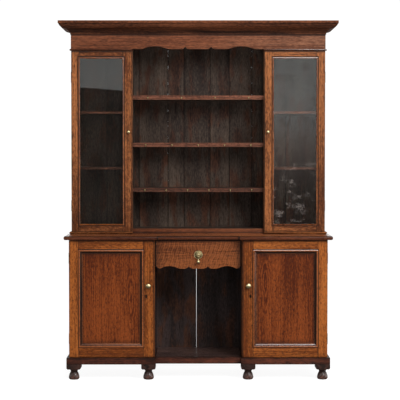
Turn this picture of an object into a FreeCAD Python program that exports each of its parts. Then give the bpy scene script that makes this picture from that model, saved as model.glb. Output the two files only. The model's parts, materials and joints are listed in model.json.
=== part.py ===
import FreeCAD, Part
import math
import os

import Sketcher
from FreeCAD import Placement, Rotation, Vector

# An oak dresser: a glazed and shelved rack that stands on a two-door base with a kennel.
# X runs to the right, Y to the back and Z up; the origin is on the floor under the middle.

# Driving dimensions in millimetres
SIZES = {
    # Base: overall, top slab and carcass
    "body_width": 1540,
    "base_depth": 470,
    "base_carcass_height": 702,
    "slab_thickness": 23,
    "slab_side_overhang": 27,
    "slab_front_overhang": 27,
    "slab_inner_overhang": 22,
    "breakfront_depth": 35,
    "slab_edge_radius": 9,
    "side_thickness": 20,
    "back_thickness": 10,
    "kennel_width": 519,
    "kennel_board_gap": 8,
    "kennel_board_gap_taper": 3,
    "kennel_gap_offset": 11,
    "floor_thickness": 18,
    "pedestal_shelf_height": 330,
    "pedestal_shelf_thickness": 18,
    "pedestal_shelf_setback": 40,
    "housing_depth": 6,
    # Plinth and feet
    "plinth_height": 39,
    "plinth_thickness": 22,
    "plinth_projection": 14,
    "plinth_inner_projection": 5,
    "foot_block_width": 85,
    "foot_block_height": 30,
    "foot_block_chamfer": 7,
    "foot_turned_height": 63,
    "foot_sole_diameter": 54,
    "foot_flare_diameter": 64,
    "foot_flare_height": 11,
    "foot_neck_diameter": 40,
    "foot_neck_height": 48,
    "foot_collar_diameter": 62,
    "foot_sole_bow": 2,
    "foot_bell_bow": 2.5,
    "foot_collar_bow": 1.5,
    "rear_post_width": 42,
    "rear_post_inset": 35.5,
    # Doors: what all four share
    "door_thickness": 22,
    "door_gap": 2.4,
    "door_end_reveal": 2,
    "door_hinge_reveal": 1.5,
    "tenon_length": 35,
    "tenon_shoulder": 8,
    # Lower doors
    "lower_lock_reveal": 3.5,
    "lower_hinge_stile": 57,
    "lower_lock_stile": 63,
    "lower_bottom_rail": 60,
    "lower_top_rail": 58,
    "panel_recess": 9,
    "panel_thickness": 7,
    "panel_tongue": 9,
    "panel_groove_clearance": 1,
    "panel_moulding_width": 24,
    "panel_moulding_height": 12,
    "knob_diameter": 31,
    "knob_projection": 25,
    "knob_shank_diameter": 8,
    "knob_shank_length": 14,
    "knob_hole_clearance": 0.1,
    "knob_inset": 34.5,
    "knob_height": 428,
    "keyhole_inset": 47,
    "keyhole_height": 367,
    "keyhole_diameter": 8,
    "keyhole_slot_width": 4,
    "keyhole_slot_length": 14,
    "lock_case_width": 44,
    "lock_case_height": 70,
    "lock_case_depth": 16,
    "lock_bolt_setback": 7,
    "lock_bolt_length": 30,
    "lock_bolt_height": 22,
    "lock_bolt_depth": 6,
    "lock_bolt_clearance": 0.4,
    "lock_bolt_travel": 15,
    "lock_mortise_clearance": 2,
    # Drawer
    "drawer_height": 171,
    "drawer_front_thickness": 22,
    "drawer_side_clearance": 2.5,
    "drawer_top_clearance": 3,
    "drawer_end_lift": 29,
    "drawer_scallop_depth": 16,
    "drawer_side_thickness": 12,
    "drawer_side_height": 128,
    "drawer_back_clearance": 16,
    "drawer_bottom_thickness": 8,
    "drawer_bottom_lift": 7,
    "drawer_bottom_groove": 5,
    "drawer_back_drop": 10,
    "drawer_rest_clearance": 0.3,
    "runner_width": 20,
    "runner_height": 16,
    "runner_setback": 4,
    # Drop pull of the drawer
    "rose_diameter": 52,
    "rose_rim": 1.5,
    "rose_dome": 5,
    "rose_boss_diameter": 15,
    "rose_boss_height": 9,
    "rose_height": 83,
    "pull_pivot_drop": 9,
    "pull_pivot_projection": 20,
    "pull_pin_diameter": 3,
    "pull_pin_clearance": 0.06,
    "pull_lug_thickness": 3,
    "pull_lug_height": 9,
    "pull_lug_clearance": 0.3,
    "pull_eye_diameter": 9,
    "pull_eye_length": 8,
    "pull_drop_length": 43,
    "pull_drop_diameter": 20,
    # Rack: heights from the slab up, depth and boards
    "rack_depth": 257,
    "rack_foot_height": 13,
    "rack_foot_projection": 12,
    "upper_door_zone": 1099,
    "frieze_bead_height": 9,
    "frieze_bead_projection": 7,
    "frieze_height": 88,
    "frieze_scallop_depth": 17,
    "cornice_height": 78,
    "cornice_projection": 72,
    "cornice_seat": 60,
    "rack_opening_width": 796,
    "partition_thickness": 16,
    "rack_board_thickness": 18,
    "rack_rail_height": 33,
    "rack_rail_thickness": 20,
    "rack_shelf_thickness": 25,
    "rack_shelf_setback": 8,
    "lower_shelf_height": 256,
    "middle_shelf_height": 530,
    "upper_shelf_height": 817,
    "cupboard_shelf_thickness": 16,
    "cupboard_shelf_setback": 22,
    "lower_cupboard_shelf_height": 392,
    "upper_cupboard_shelf_height": 731,
    "back_board_gap": 1,
    # Upper doors
    "upper_lock_reveal": 2,
    "upper_hinge_stile": 43,
    "upper_lock_stile": 49,
    "upper_bottom_rail": 38,
    "upper_top_rail": 37,
    "glazing_rebate_width": 9,
    "glazing_rebate_depth": 13,
    "glass_thickness": 3,
    "glass_clearance": 1,
    "glazing_bead_set_in": 1.5,
    "upper_tenon_thickness": 6,
    "catch_knob_diameter": 18,
    "catch_knob_projection": 18,
    "catch_spindle_diameter": 6,
    "catch_spindle_clearance": 0.06,
    "catch_spindle_end": 3,
    "catch_inset": 22,
    "catch_height": 607,
    "catch_tongue_gap": 8,
    "catch_tongue_thickness": 3,
    "catch_tongue_width": 7,
    "catch_tongue_length": 17,
    "catch_slot_clearance": 1,
    # Hinges
    "hinge_length": 64,
    "hinge_knuckle_diameter": 5.4,
    "hinge_axis_inset": 0.5,
    "hinge_knuckle_clearance": 0.3,
    "hinge_pin_diameter": 2.6,
    "hinge_pin_clearance": 0.05,
    "hinge_leaf_width": 16,
    "hinge_leaf_clearance": 0.2,
    "lower_hinge_inset": 110,
    "upper_hinge_inset": 160,
    # Cup hooks
    "hook_wire_diameter": 3,
    "hook_shank_length": 10,
    "hook_neck_length": 5,
    "hook_bend_radius": 4,
    "hook_cup_radius": 7,
    "hook_flange_diameter": 9,
    "hook_flange_thickness": 1.5,
    "hook_hole_clearance": 0.1,
    # Spare length of every cutting piece
    "cut_overrun": 5,
}

# Outline shares: across the width, up the height, and the bow of the edge that leaves the point,
# the bow as a share of the height too. Positive bows swell to the right of the way round.
FRIEZE_SCALLOP_SHARES = (
    (0.135, 0, 0.30),
    (0.196, 1, 0.30),
    (0.262, 0, 0),
    (0.408, 0, 0.11),
    (0.520, 0.5, -0.5),
    (0.800, 0.5, 0.11),
    (0.890, 0, 0),
)
DRAWER_SCALLOP_SHARES = (
    (0.090, 0, 0.30),
    (0.220, 0.9, 0.28),
    (0.345, 0, 0),
    (0.385, 0, 0.12),
    (0.530, 0.55, -0.45),
    (0.810, 0.55, 0),
    (0.893, 0, 0.35),
)
CORNICE_SHARES = (
    (1, 1, 0),
    (0, 1, 0),
    (0, 0.79, 0),
    (0.060, 0.79, 0),
    (0.060, 0.735, 0.063),
    (0.470, 0.43, -0.063),
    (0.900, 0.14, 0),
    (0.950, 0.14, 0),
    (0.950, 0, 0),
    (1, 0, 0),
)
PANEL_MOULDING_SHARES = (
    (0, 1, 0),
    (0, 0, 0),
    (1, 0, 0),
    (1, 0.20, -0.08),
    (0.50, 0.55, 0),
    (0.42, 0.55, 0.19),
    (0.12, 1, 0),
)
GLAZING_BEAD_SHARES = (
    (0, 1, 0),
    (0, 0, 0),
    (1, 0, 0),
    (1, 0.22, 0.21),
    (0.22, 1, 0),
)
RACK_FOOT_SHARES = (
    (1, 1, 0),
    (0.15, 1, 0.138),
    (0.15, 0.46, 0),
    (0.80, 0.46, 0),
    (0.80, 0, 0),
    (1, 0, 0),
)
KNOB_SHARES = (
    (0.34, 0, 0),
    (0.34, 0.09, 0),
    (0.20, 0.17, -0.02),
    (0.20, 0.36, 0.046),
    (0.50, 0.64, 0.06),
    (0.30, 0.93, 0.018),
    (0.06, 1, 0),
)
PEAR_SHARES = (
    (0.35, 0.03, 0.045),
    (1.00, 0.20, 0.027),
    (0.80, 0.42, -0.032),
    (0.30, 0.72, 0),
    (0.30, 0.95, 0),
)
# The bow of a quarter circle, as a share of its radius
QUARTER_BOW_SHARE = 1 - math.cos(math.pi / 4)
ROSE_BOW_SHARE = 0.3
BOSS_SHOULDER_SHARE = 0.7
BOSS_FLAT_SHARE = 0.2
BOSS_BOW_SHARE = 0.07
BEAD_BOW_SHARE = 0.45
BASE_BOARD_SHARES = (0.56, 0.78)
RACK_BOARD_SHARES = (-0.74, -0.477, -0.244, -0.114, 0.097, 0.252, 0.435, 0.71)
OPEN_JOINT_SHARES = (-0.244, 0.435)
HOOK_SHARES = {
    "lower": (-0.816, -0.49, -0.163, 0.163, 0.49, 0.816),
    "middle": (-0.804, -0.402, 0, 0.402, 0.804),
    "upper": (-0.769, -0.256, 0.256, 0.769),
}

SIDES = {"left": -1, "right": 1}
QUARTER_TURN = 90
FULL_TURN = 360
TO_FRONT = Rotation(Vector(1, 0, 0), QUARTER_TURN)
TO_BACK = Rotation(Vector(1, 0, 0), -QUARTER_TURN)
TO_RIGHT = Rotation(Vector(0, 1, 0), QUARTER_TURN)
KNUCKLE_COUNT = 3

document = FreeCAD.newDocument("WelshDresser")
nodes = []


class Size:
    """A size worked out from the sheet: its number and the expression that gives it."""

    def __init__(self, number, text):
        self.number = number
        self.text = text

    def __add__(self, other):
        other = as_size(other)
        return Size(self.number + other.number, f"({self.text} + {other.text})")

    def __sub__(self, other):
        other = as_size(other)
        return Size(self.number - other.number, f"({self.text} - {other.text})")

    def __mul__(self, other):
        other = as_size(other)
        return Size(self.number * other.number, f"({self.text} * {other.text})")

    def __truediv__(self, other):
        other = as_size(other)
        return Size(self.number / other.number, f"({self.text} / {other.text})")

    def __neg__(self):
        return Size(-self.number, f"(0 - {self.text})")

    def __rsub__(self, other):
        return as_size(other) - self

    __radd__ = __add__
    __rmul__ = __mul__


def as_size(value):
    """A plain number as a size, so that both can stand in one sum."""
    return value if isinstance(value, Size) else Size(float(value), f"({value})")


class Sheet:
    """The document's sheet of driving dimensions, read by their names."""

    def __init__(self, sizes):
        self.cells = document.addObject("Spreadsheet::Sheet", "Sizes")
        for row, (alias, value) in enumerate(sizes.items(), 1):
            self.cells.set(f"A{row}", alias)
            self.cells.set(f"B{row}", str(value))
            self.cells.setAlias(f"B{row}", alias)
        document.recompute()

    def __getattr__(self, alias):
        return Size(float(self.cells.get(alias)), f"Sizes.{alias}")


S = Sheet(SIZES)


# Planes that several pieces share
half_body = S.body_width / 2
back = S.base_depth / 2
slab_front = -back
base_front = slab_front + S.slab_front_overhang
base_carcass_front = base_front + S.door_thickness + S.door_gap
carcass_back = back - S.back_thickness
foot_top = S.foot_turned_height + S.foot_block_height
plinth_top = foot_top + S.plinth_height
slab_bottom = plinth_top + S.base_carcass_height
slab_top = slab_bottom + S.slab_thickness
kennel_half = S.kennel_width / 2
plinth_outer = half_body + S.plinth_projection
plinth_inner = kennel_half - S.plinth_inner_projection
plinth_front = base_front - S.plinth_projection
kennel_front = base_front + S.breakfront_depth
rack_front = back - S.rack_depth
rack_carcass_front = rack_front + S.door_thickness + S.door_gap
upper_zone_bottom = slab_top + S.rack_foot_height
upper_zone_top = upper_zone_bottom + S.upper_door_zone
frieze_bottom = upper_zone_top + S.frieze_bead_height
frieze_top = frieze_bottom + S.frieze_height
rack_top = frieze_top + S.cornice_seat
rack_floor = slab_top + S.rack_rail_height
opening_half = S.rack_opening_width / 2
partition_outer = opening_half + S.partition_thickness
side_inner = half_body - S.side_thickness
hinge_axis_x = half_body - S.hinge_axis_inset
keyhole_x = kennel_half + S.lower_lock_reveal + S.keyhole_inset
lock_edge_x = keyhole_x - S.lock_case_width / 2


def bind(piece, name, value):
    """Tie one property of a piece to the sheet."""
    piece.setExpression(name, as_size(value).text)


def place(piece, at):
    """Tie the place of a piece to the sheet."""
    for axis, value in zip("xyz", at):
        bind(piece, f"Placement.Base.{axis}", value)
    return piece


def mirrored(side, near, far):
    """The span from near to far of the middle, on the left (-1) or the right (1)."""
    return (near, far) if side > 0 else (-far, -near)


def board(name, x, y, z):
    """A straight board that fills three spans, each given by its low and high end."""
    box = document.addObject("Part::Box", name)
    for measure, (low, high) in zip(("Length", "Width", "Height"), (x, y, z)):
        bind(box, measure, high - low)
    return place(box, (x[0], y[0], z[0]))


def cylinder(name, diameter, length, at, turn=Rotation()):
    """A round bar that starts at a point and runs along the turned Z axis."""
    bar = document.addObject("Part::Cylinder", name)
    bar.Placement = Placement(Vector(), turn)
    bind(bar, "Radius", diameter / 2)
    bind(bar, "Height", length)
    return place(bar, at)


def fuse(name, pieces):
    """Several shapes grown together as one solid."""
    joined = document.addObject("Part::MultiFuse", name)
    joined.Shapes = pieces
    joined.Refine = True
    return joined


def cut(name, base, tools):
    """A piece with every tool taken out of it."""
    trimmed = document.addObject("Part::Cut", name)
    trimmed.Base = base
    trimmed.Tool = tools[0] if len(tools) == 1 else fuse(f"{name}_waste", tools)
    return trimmed


def copy_of(master, at, turn=Rotation()):
    """One more of a piece that is made several times over."""
    link = document.addObject("App::Link", f"{master.Name}_copy")
    link.LinkedObject = master
    link.Placement = Placement(Vector(), turn)
    return place(link, at)


def node(label, *pieces):
    """A node of the part: one piece, or several like pieces kept as separate solids."""
    item = pieces[0]
    if len(pieces) > 1 or item.TypeId == "App::Link":
        item = document.addObject("Part::Compound", label)
        item.Links = list(pieces)
    item.Label = label
    nodes.append(item)


def outline(body, name, plane, points, bows=None, closed=True):
    """A sketch through points; an edge with a bow is an arc that swells to its right."""
    sketch = body.newObject("Sketcher::SketchObject", name)
    support = next(item for item in body.Origin.OriginFeatures if item.Role == plane)
    sketch.AttachmentSupport = [(support, "")]
    sketch.MapMode = "FlatFace"
    points = [tuple(as_size(value) for value in point) for point in points]
    ends = points[1:] + points[:1] if closed else points[1:]
    bows = [as_size(bow) for bow in bows or [0] * len(ends)]
    tips = [(2, 1) if bow.number < 0 else (1, 2) for bow in bows]
    joins = []
    ties = []
    for index, (start, end, bow) in enumerate(zip(points, ends, bows)):
        radius = add_edge(sketch, start, end, bow)
        if closed or index:
            joins.append(("Coincident", (index - 1) % len(ends), tips[index - 1][1], index, tips[index][0]))
        ties.append(("DistanceX", (-1, 1, index, tips[index][0]), start[0]))
        ties.append(("DistanceY", (-1, 1, index, tips[index][0]), start[1]))
        if radius:
            ties.append(("Radius", (index,), radius))
    if not closed:
        last = len(ends) - 1
        ties.append(("DistanceX", (-1, 1, last, tips[last][1]), points[-1][0]))
        ties.append(("DistanceY", (-1, 1, last, tips[last][1]), points[-1][1]))
    constraints = [Sketcher.Constraint(*join) for join in joins]
    constraints.extend(Sketcher.Constraint(kind, *where, value.number) for kind, where, value in ties)
    sketch.addConstraint(constraints)
    for index, (kind, where, value) in enumerate(ties, len(joins)):
        bind(sketch, f"Constraints[{index}]", value)
    return sketch


def add_edge(sketch, start, end, bow):
    """Draw one edge of an outline and return its radius, or None for a straight edge."""
    first = Vector(start[0].number, start[1].number, 0)
    last = Vector(end[0].number, end[1].number, 0)
    if not bow.number:
        sketch.addGeometry(Part.LineSegment(first, last))
        return None
    height = bow if bow.number > 0 else -bow
    run = end[0] - start[0]
    rise = end[1] - start[1]
    radius = (run * run + rise * rise) / (height * 8) + height / 2
    chord = last - first
    to_left = Vector(-chord.y, chord.x, 0).normalize()
    inward = to_left if bow.number > 0 else -to_left
    centre = (first + last) / 2 + inward * (radius.number - height.number)
    ends = (first, last) if bow.number > 0 else (last, first)
    angles = [math.atan2(point.y - centre.y, point.x - centre.x) for point in ends]
    circle = Part.Circle(centre, Vector(0, 0, 1), radius.number)
    sketch.addGeometry(Part.ArcOfCircle(circle, *angles))
    return radius


def shared_outline(shares, width, height):
    """Points and bows of an outline from its table of shares of a width and a height."""
    points = [(width * across, height * up) for across, up, bow in shares]
    return points, [height * bow if bow else 0 for across, up, bow in shares]


def scalloped_board(name, shares, scallop_half, half_width, z, depth, end_lift, thickness):
    """An upright board whose lower edge repeats its scallops on both sides of the middle."""
    low, high = z
    waves, swells = shared_outline(shares, scallop_half, depth)
    right = [(across, low + up) for across, up in waves] + [(half_width, low + end_lift)]
    left = [(-across, up) for across, up in reversed(right)]
    points = left + right + [(half_width, high), (-half_width, high)]
    bows = swells[::-1] + [0] + swells + [0, 0, 0]
    return padded(name, "XZ_Plane", points, bows, thickness)


def padded(name, plane, points, bows, length, reverse=False):
    """A body of one outline drawn out to a length."""
    body = document.addObject("PartDesign::Body", name)
    sketch = outline(body, f"{name}_outline", plane, points, bows)
    pad = body.newObject("PartDesign::Pad", f"{name}_pad")
    pad.Profile = sketch
    pad.Reversed = reverse
    bind(pad, "Length", length)
    return body


def turned(name, points, bows):
    """A body turned about its Z axis from a half outline of radius and height."""
    body = document.addObject("PartDesign::Body", name)
    sketch = outline(body, f"{name}_outline", "XZ_Plane", points, bows)
    spin = body.newObject("PartDesign::Revolution", f"{name}_spin")
    spin.Profile = sketch
    spin.ReferenceAxis = (sketch, ["V_Axis"])
    spin.Angle = FULL_TURN
    return body


def mitred_strip(name, shares, width, height, length, start_mitre=True, end_mitre=True):
    """A moulding along X, long edge at Y zero, whose ends are cut back at 45 degrees."""
    points, bows = shared_outline(shares, width, height)
    body = padded(name, "YZ_Plane", points, bows, length)
    far = width + S.cut_overrun
    for end, wanted in (("start", start_mitre), ("end", end_mitre)):
        if not wanted:
            continue
        corner = 0 if end == "start" else length
        reach = far if end == "start" else length - far
        triangle = [(corner, 0), (reach, far), (corner, far)]
        if end == "end":
            triangle.reverse()
        sketch = outline(body, f"{name}_{end}_mitre", "XY_Plane", triangle)
        pocket = body.newObject("PartDesign::Pocket", f"{name}_{end}_cut")
        pocket.Profile = sketch
        pocket.Type = "ThroughAll"
        pocket.Reversed = True
    return body


def ring(strips, x, y, z):
    """Four mitred strips round an upright opening: bottom, left, top and right."""
    corners = ((x[0], z[0]), (x[0], z[1]), (x[1], z[1]), (x[1], z[0]))
    upright = Rotation(Vector(1, 0, 0), QUARTER_TURN)
    copies = []
    for index, (across, up) in enumerate(corners):
        turn = Rotation(Vector(0, 1, 0), QUARTER_TURN * index) * upright
        copies.append(copy_of(strips[index % 2], (across, y, up), turn))
    return copies


# Base

def make_feet():
    """Four front feet, each a square block above a waisted turning, and four plain posts at the back."""
    half = S.foot_block_width / 2
    low = S.foot_turned_height
    shoulder = low + S.foot_block_chamfer
    inset = half - S.foot_block_chamfer
    block = padded(
        "foot_block", "XZ_Plane",
        [(-inset, low), (inset, low), (half, shoulder),
         (half, foot_top), (-half, foot_top), (-half, shoulder)],
        None, S.foot_block_width)
    place(block, (0, half, 0))
    turning = turned(
        "foot_turning",
        [(0, 0), (S.foot_sole_diameter / 2, 0), (S.foot_flare_diameter / 2, S.foot_flare_height),
         (S.foot_neck_diameter / 2, S.foot_neck_height), (S.foot_collar_diameter / 2, low), (0, low)],
        [0, S.foot_sole_bow, S.foot_bell_bow, -S.foot_collar_bow, 0, 0])
    foot = fuse("foot", [block, turning])
    places = (-plinth_outer + half, -plinth_inner - half, plinth_inner + half, plinth_outer - half)
    node("front_feet", *(copy_of(foot, (x, plinth_front + half, 0)) for x in places))
    wide = S.rear_post_width
    post_near = plinth_inner + S.rear_post_inset
    posts = []
    for name, side in SIDES.items():
        spans = {"inner": (post_near, post_near + wide), "outer": (plinth_outer - wide, plinth_outer)}
        for where, span in spans.items():
            posts.append(board(f"{name}_{where}_post", mirrored(side, *span),
                               (carcass_back - wide, carcass_back), (as_size(0), foot_top)))
    node("rear_feet", *posts)


def make_plinth():
    """Rails round the foot of each pedestal, with a set-back rail under the kennel."""
    thick = S.plinth_thickness
    height = (foot_top, plinth_top)
    depth = (plinth_front + thick, carcass_back)
    rails = []
    for name, side in SIDES.items():
        for piece, x, y in (
            ("front", (plinth_inner, plinth_outer), (plinth_front, plinth_front + thick)),
            ("outer", (plinth_outer - thick, plinth_outer), depth),
            ("inner", (plinth_inner, plinth_inner + thick), depth),
            ("back", (plinth_inner + thick, plinth_outer - thick), (carcass_back - thick, carcass_back)),
        ):
            rails.append(board(f"plinth_{name}_{piece}", mirrored(side, *x), y, height))
    kennel_rail_front = plinth_front + S.breakfront_depth
    rails.append(board("plinth_kennel", (-plinth_inner, plinth_inner),
                       (kennel_rail_front, kennel_rail_front + thick), height))
    node("plinth_rails", *rails)


def make_base_floor():
    """Floor boards of the two pedestals and the kennel, let in between the plinth rails."""
    thick = S.plinth_thickness
    height = (plinth_top - S.floor_thickness, plinth_top)
    boards = [board("kennel_floor", (-plinth_inner, plinth_inner),
                    (plinth_front + S.breakfront_depth + thick, carcass_back), height)]
    for name, side in SIDES.items():
        boards.append(board(f"{name}_pedestal_floor",
                            mirrored(side, plinth_inner + thick, plinth_outer - thick),
                            (plinth_front + thick, carcass_back - thick), height))
    node("base_floor_boards", *boards)


def lock_spans(side):
    """Where the bolt of a lower door lies: its spans in X, Y and Z."""
    y_low = base_front + S.door_thickness + S.lock_bolt_setback
    z_middle = plinth_top + S.keyhole_height
    return (mirrored(side, lock_edge_x, lock_edge_x + S.lock_bolt_length),
            (y_low, y_low + S.lock_bolt_depth),
            (z_middle - S.lock_bolt_height / 2, z_middle + S.lock_bolt_height / 2))


def grown(span, by):
    """A span made longer by the same amount at both ends."""
    return (span[0] - by, span[1] + by)


def make_pedestals(hinge_rooms):
    """Two sides and a housed shelf to each pedestal; the inner side takes the lock's bolt."""
    depth = (base_carcass_front, carcass_back)
    height = (plinth_top, slab_bottom)
    inner_face = kennel_half + S.side_thickness
    shelf_low = plinth_top + S.pedestal_shelf_height
    shelves = []
    for name, side in SIDES.items():
        shelf = board(f"{name}_pedestal_shelf",
                      mirrored(side, inner_face - S.housing_depth, side_inner + S.housing_depth),
                      (base_carcass_front + S.pedestal_shelf_setback, carcass_back),
                      (shelf_low, shelf_low + S.pedestal_shelf_thickness))
        shelves.append(shelf)
        outer = board(f"{name}_outer_board", mirrored(side, side_inner, half_body), depth, height)
        node(f"{name}_pedestal_outer_side", cut(f"{name}_outer_side", outer, [shelf] + hinge_rooms[name]))
        bolt_x, bolt_y, bolt_z = lock_spans(side)
        mortise_end = lock_edge_x - S.lock_bolt_travel - S.lock_mortise_clearance
        mortise = board(f"{name}_lock_mortise", mirrored(side, mortise_end, inner_face + S.cut_overrun),
                        grown(bolt_y, S.lock_mortise_clearance), grown(bolt_z, S.lock_mortise_clearance))
        inner = board(f"{name}_inner_board", mirrored(side, kennel_half, inner_face), depth, height)
        node(f"{name}_pedestal_inner_side", cut(f"{name}_inner_side", inner, [shelf, mortise]))
    node("pedestal_shelves", *shelves)


def make_base_back():
    """Upright back boards; the two of the kennel have shrunk apart, more so at the top."""
    height = (foot_top, slab_bottom)
    middle = kennel_half + S.side_thickness / 2
    joints = [middle] + [half_body * share for share in BASE_BOARD_SHARES] + [half_body]
    boards = []
    for name, side in SIDES.items():
        for index, (near, far) in enumerate(zip(joints, joints[1:])):
            boards.append(board(f"{name}_base_back_{index}", mirrored(side, near, far),
                                (carcass_back, back), height))
        top_edge = -S.kennel_gap_offset + S.kennel_board_gap * side / 2
        low_edge = top_edge - S.kennel_board_gap_taper * side / 2
        corners = [(low_edge, foot_top), (middle * side, foot_top),
                   (middle * side, slab_bottom), (top_edge, slab_bottom)]
        if side < 0:
            corners.reverse()
        kennel_board = padded(f"{name}_kennel_back", "XZ_Plane", corners, None, S.back_thickness)
        boards.append(place(kennel_board, (0, back, 0)))
    node("base_back_boards", *boards)


def make_base_top():
    """The slab: its middle is set back above the drawer, and its shown edges are rounded."""
    outer = half_body + S.slab_side_overhang
    inner = kennel_half - S.slab_inner_overhang
    recess = slab_front + S.breakfront_depth
    slab = padded(
        "base_slab", "XY_Plane",
        [(-outer, slab_front), (-inner, slab_front), (-inner, recess), (inner, recess),
         (inner, slab_front), (outer, slab_front), (outer, back), (-outer, back)],
        None, S.slab_thickness)
    document.recompute()
    pad = slab.Tip
    shown = [
        f"Edge{index}" for index, edge in enumerate(pad.Shape.Edges, 1)
        if edge.BoundBox.ZLength < S.slab_thickness.number / 2 and edge.BoundBox.YMin < back.number / 2
    ]
    rounding = slab.newObject("PartDesign::Fillet", "base_slab_edge")
    rounding.Base = (pad, shown)
    bind(rounding, "Radius", S.slab_edge_radius)
    node("base_top", place(slab, (0, 0, slab_bottom)))


# Doors

def door_frame(name, side, x, y, z, stiles, rails, tenon_y, waste, lock_waste, hinge_waste):
    """Two stiles and two tenoned rails; x runs from the lock edge to the hinge edge."""
    lock_x = (x[0], x[0] + stiles[0])
    hinge_x = (x[1] - stiles[1], x[1])
    tenon_x = mirrored(side, lock_x[1] - S.tenon_length, hinge_x[0] + S.tenon_length)
    tenons = []
    pieces = []
    for end, rail_z, tenon_z in (
        ("bottom", (z[0], z[0] + rails[0]), (z[0] + S.tenon_shoulder, z[0] + rails[0])),
        ("top", (z[1] - rails[1], z[1]), (z[1] - rails[1], z[1] - S.tenon_shoulder)),
    ):
        tenon = board(f"{name}_{end}_tenon", tenon_x, tenon_y, tenon_z)
        tenons.append(tenon)
        rail = board(f"{name}_{end}_bar", mirrored(side, lock_x[1], hinge_x[0]), y, rail_z)
        tenoned = fuse(f"{name}_{end}_tenoned", [rail, tenon])
        pieces.append(cut(f"{name}_{end}_rail", tenoned, [waste]))
    for edge, stile_x, holes in (("lock", lock_x, lock_waste), ("hinge", hinge_x, hinge_waste)):
        stile = board(f"{name}_{edge}_bar", mirrored(side, *stile_x), y, z)
        pieces.append(cut(f"{name}_{edge}_stile", stile, tenons + [waste] + holes))
    node(f"{name}_frame", *pieces)


def knob_body(name, diameter, projection, shank_diameter, shank_length):
    """A turned knob with its shank, standing on its Z axis with its foot at zero."""
    points, bows = shared_outline(KNOB_SHARES, diameter, projection)
    shank = shank_diameter / 2
    return turned(name,
                  [(0, -shank_length), (shank, -shank_length), (shank, 0)] + points + [(0, projection)],
                  [0, 0, 0] + bows + [0])


def make_lower_doors(hinge_rooms):
    """Framed doors with a flat panel, a mitred moulding, a knob and a sliding-bolt lock."""
    x = (kennel_half + S.lower_lock_reveal, half_body - S.door_hinge_reveal)
    y = (base_front, base_front + S.door_thickness)
    z = (plinth_top + S.door_end_reveal, slab_bottom - S.door_end_reveal)
    panel_y = (base_front + S.panel_recess, base_front + S.panel_recess + S.panel_thickness)
    sight_x = (x[0] + S.lower_lock_stile, x[1] - S.lower_hinge_stile)
    sight_z = (z[0] + S.lower_bottom_rail, z[1] - S.lower_top_rail)
    strips = [
        mitred_strip(f"panel_moulding_{way}", PANEL_MOULDING_SHARES, S.panel_moulding_width,
                     S.panel_moulding_height, span[1] - span[0])
        for way, span in (("level", sight_x), ("upright", sight_z))
    ]
    knob = knob_body("lower_knob", S.knob_diameter, S.knob_projection, S.knob_shank_diameter,
                     S.knob_shank_length)
    knob_z = plinth_top + S.knob_height
    key_z = plinth_top + S.keyhole_height
    groove_depth = S.panel_tongue + S.panel_groove_clearance
    for name, side in SIDES.items():
        door = f"{name}_lower_door"
        groove = board(f"{door}_groove", mirrored(side, *grown(sight_x, groove_depth)), panel_y,
                       grown(sight_z, groove_depth))
        knob_x = (x[0] + S.knob_inset) * side
        key_x = (x[0] + S.keyhole_inset) * side
        before = base_front - S.cut_overrun
        through = S.door_thickness + S.cut_overrun * 2
        knob_hole = cylinder(f"{door}_knob_hole", S.knob_shank_diameter + S.knob_hole_clearance * 2,
                             S.knob_shank_length + S.cut_overrun, (knob_x, before, knob_z), TO_BACK)
        key_eye = cylinder(f"{door}_key_eye", S.keyhole_diameter, through, (key_x, before, key_z), TO_BACK)
        key_slot = board(f"{door}_key_slot",
                         (key_x - S.keyhole_slot_width / 2, key_x + S.keyhole_slot_width / 2),
                         (before, before + through), (key_z - S.keyhole_slot_length, key_z))
        door_frame(door, side, x, y, z, (S.lower_lock_stile, S.lower_hinge_stile),
                   (S.lower_bottom_rail, S.lower_top_rail), panel_y, groove, [knob_hole, key_eye, key_slot],
                   hinge_rooms[name])
        node(f"{door}_panel", board(f"{door}_panel_board", mirrored(side, *grown(sight_x, S.panel_tongue)),
                                    panel_y, grown(sight_z, S.panel_tongue)))
        node(f"{door}_moulding", *ring(strips, mirrored(side, *sight_x), panel_y[0], sight_z))
        node(f"{door}_knob", copy_of(knob, (knob_x, base_front, knob_z), TO_FRONT))
        make_lock(door, side, y[1])


def make_lock(door, side, door_back):
    """The lock case behind the stile and the bolt that slides in it."""
    bolt_x, bolt_y, bolt_z = lock_spans(side)
    key_z = plinth_top + S.keyhole_height
    case = board(f"{door}_lock_block", mirrored(side, lock_edge_x, keyhole_x + S.lock_case_width / 2),
                 (door_back, door_back + S.lock_case_depth),
                 (key_z - S.lock_case_height / 2, key_z + S.lock_case_height / 2))
    channel_end = lock_edge_x + S.lock_bolt_length + S.lock_bolt_clearance
    channel = board(f"{door}_lock_channel", mirrored(side, lock_edge_x - S.cut_overrun, channel_end),
                    grown(bolt_y, S.lock_bolt_clearance), grown(bolt_z, S.lock_bolt_clearance))
    node(f"{door}_lock_case", cut(f"{door}_lock_body", case, [channel]))
    node(f"{door}_lock_bolt", board(f"{door}_bolt", bolt_x, bolt_y, bolt_z))


# Drawer

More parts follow.
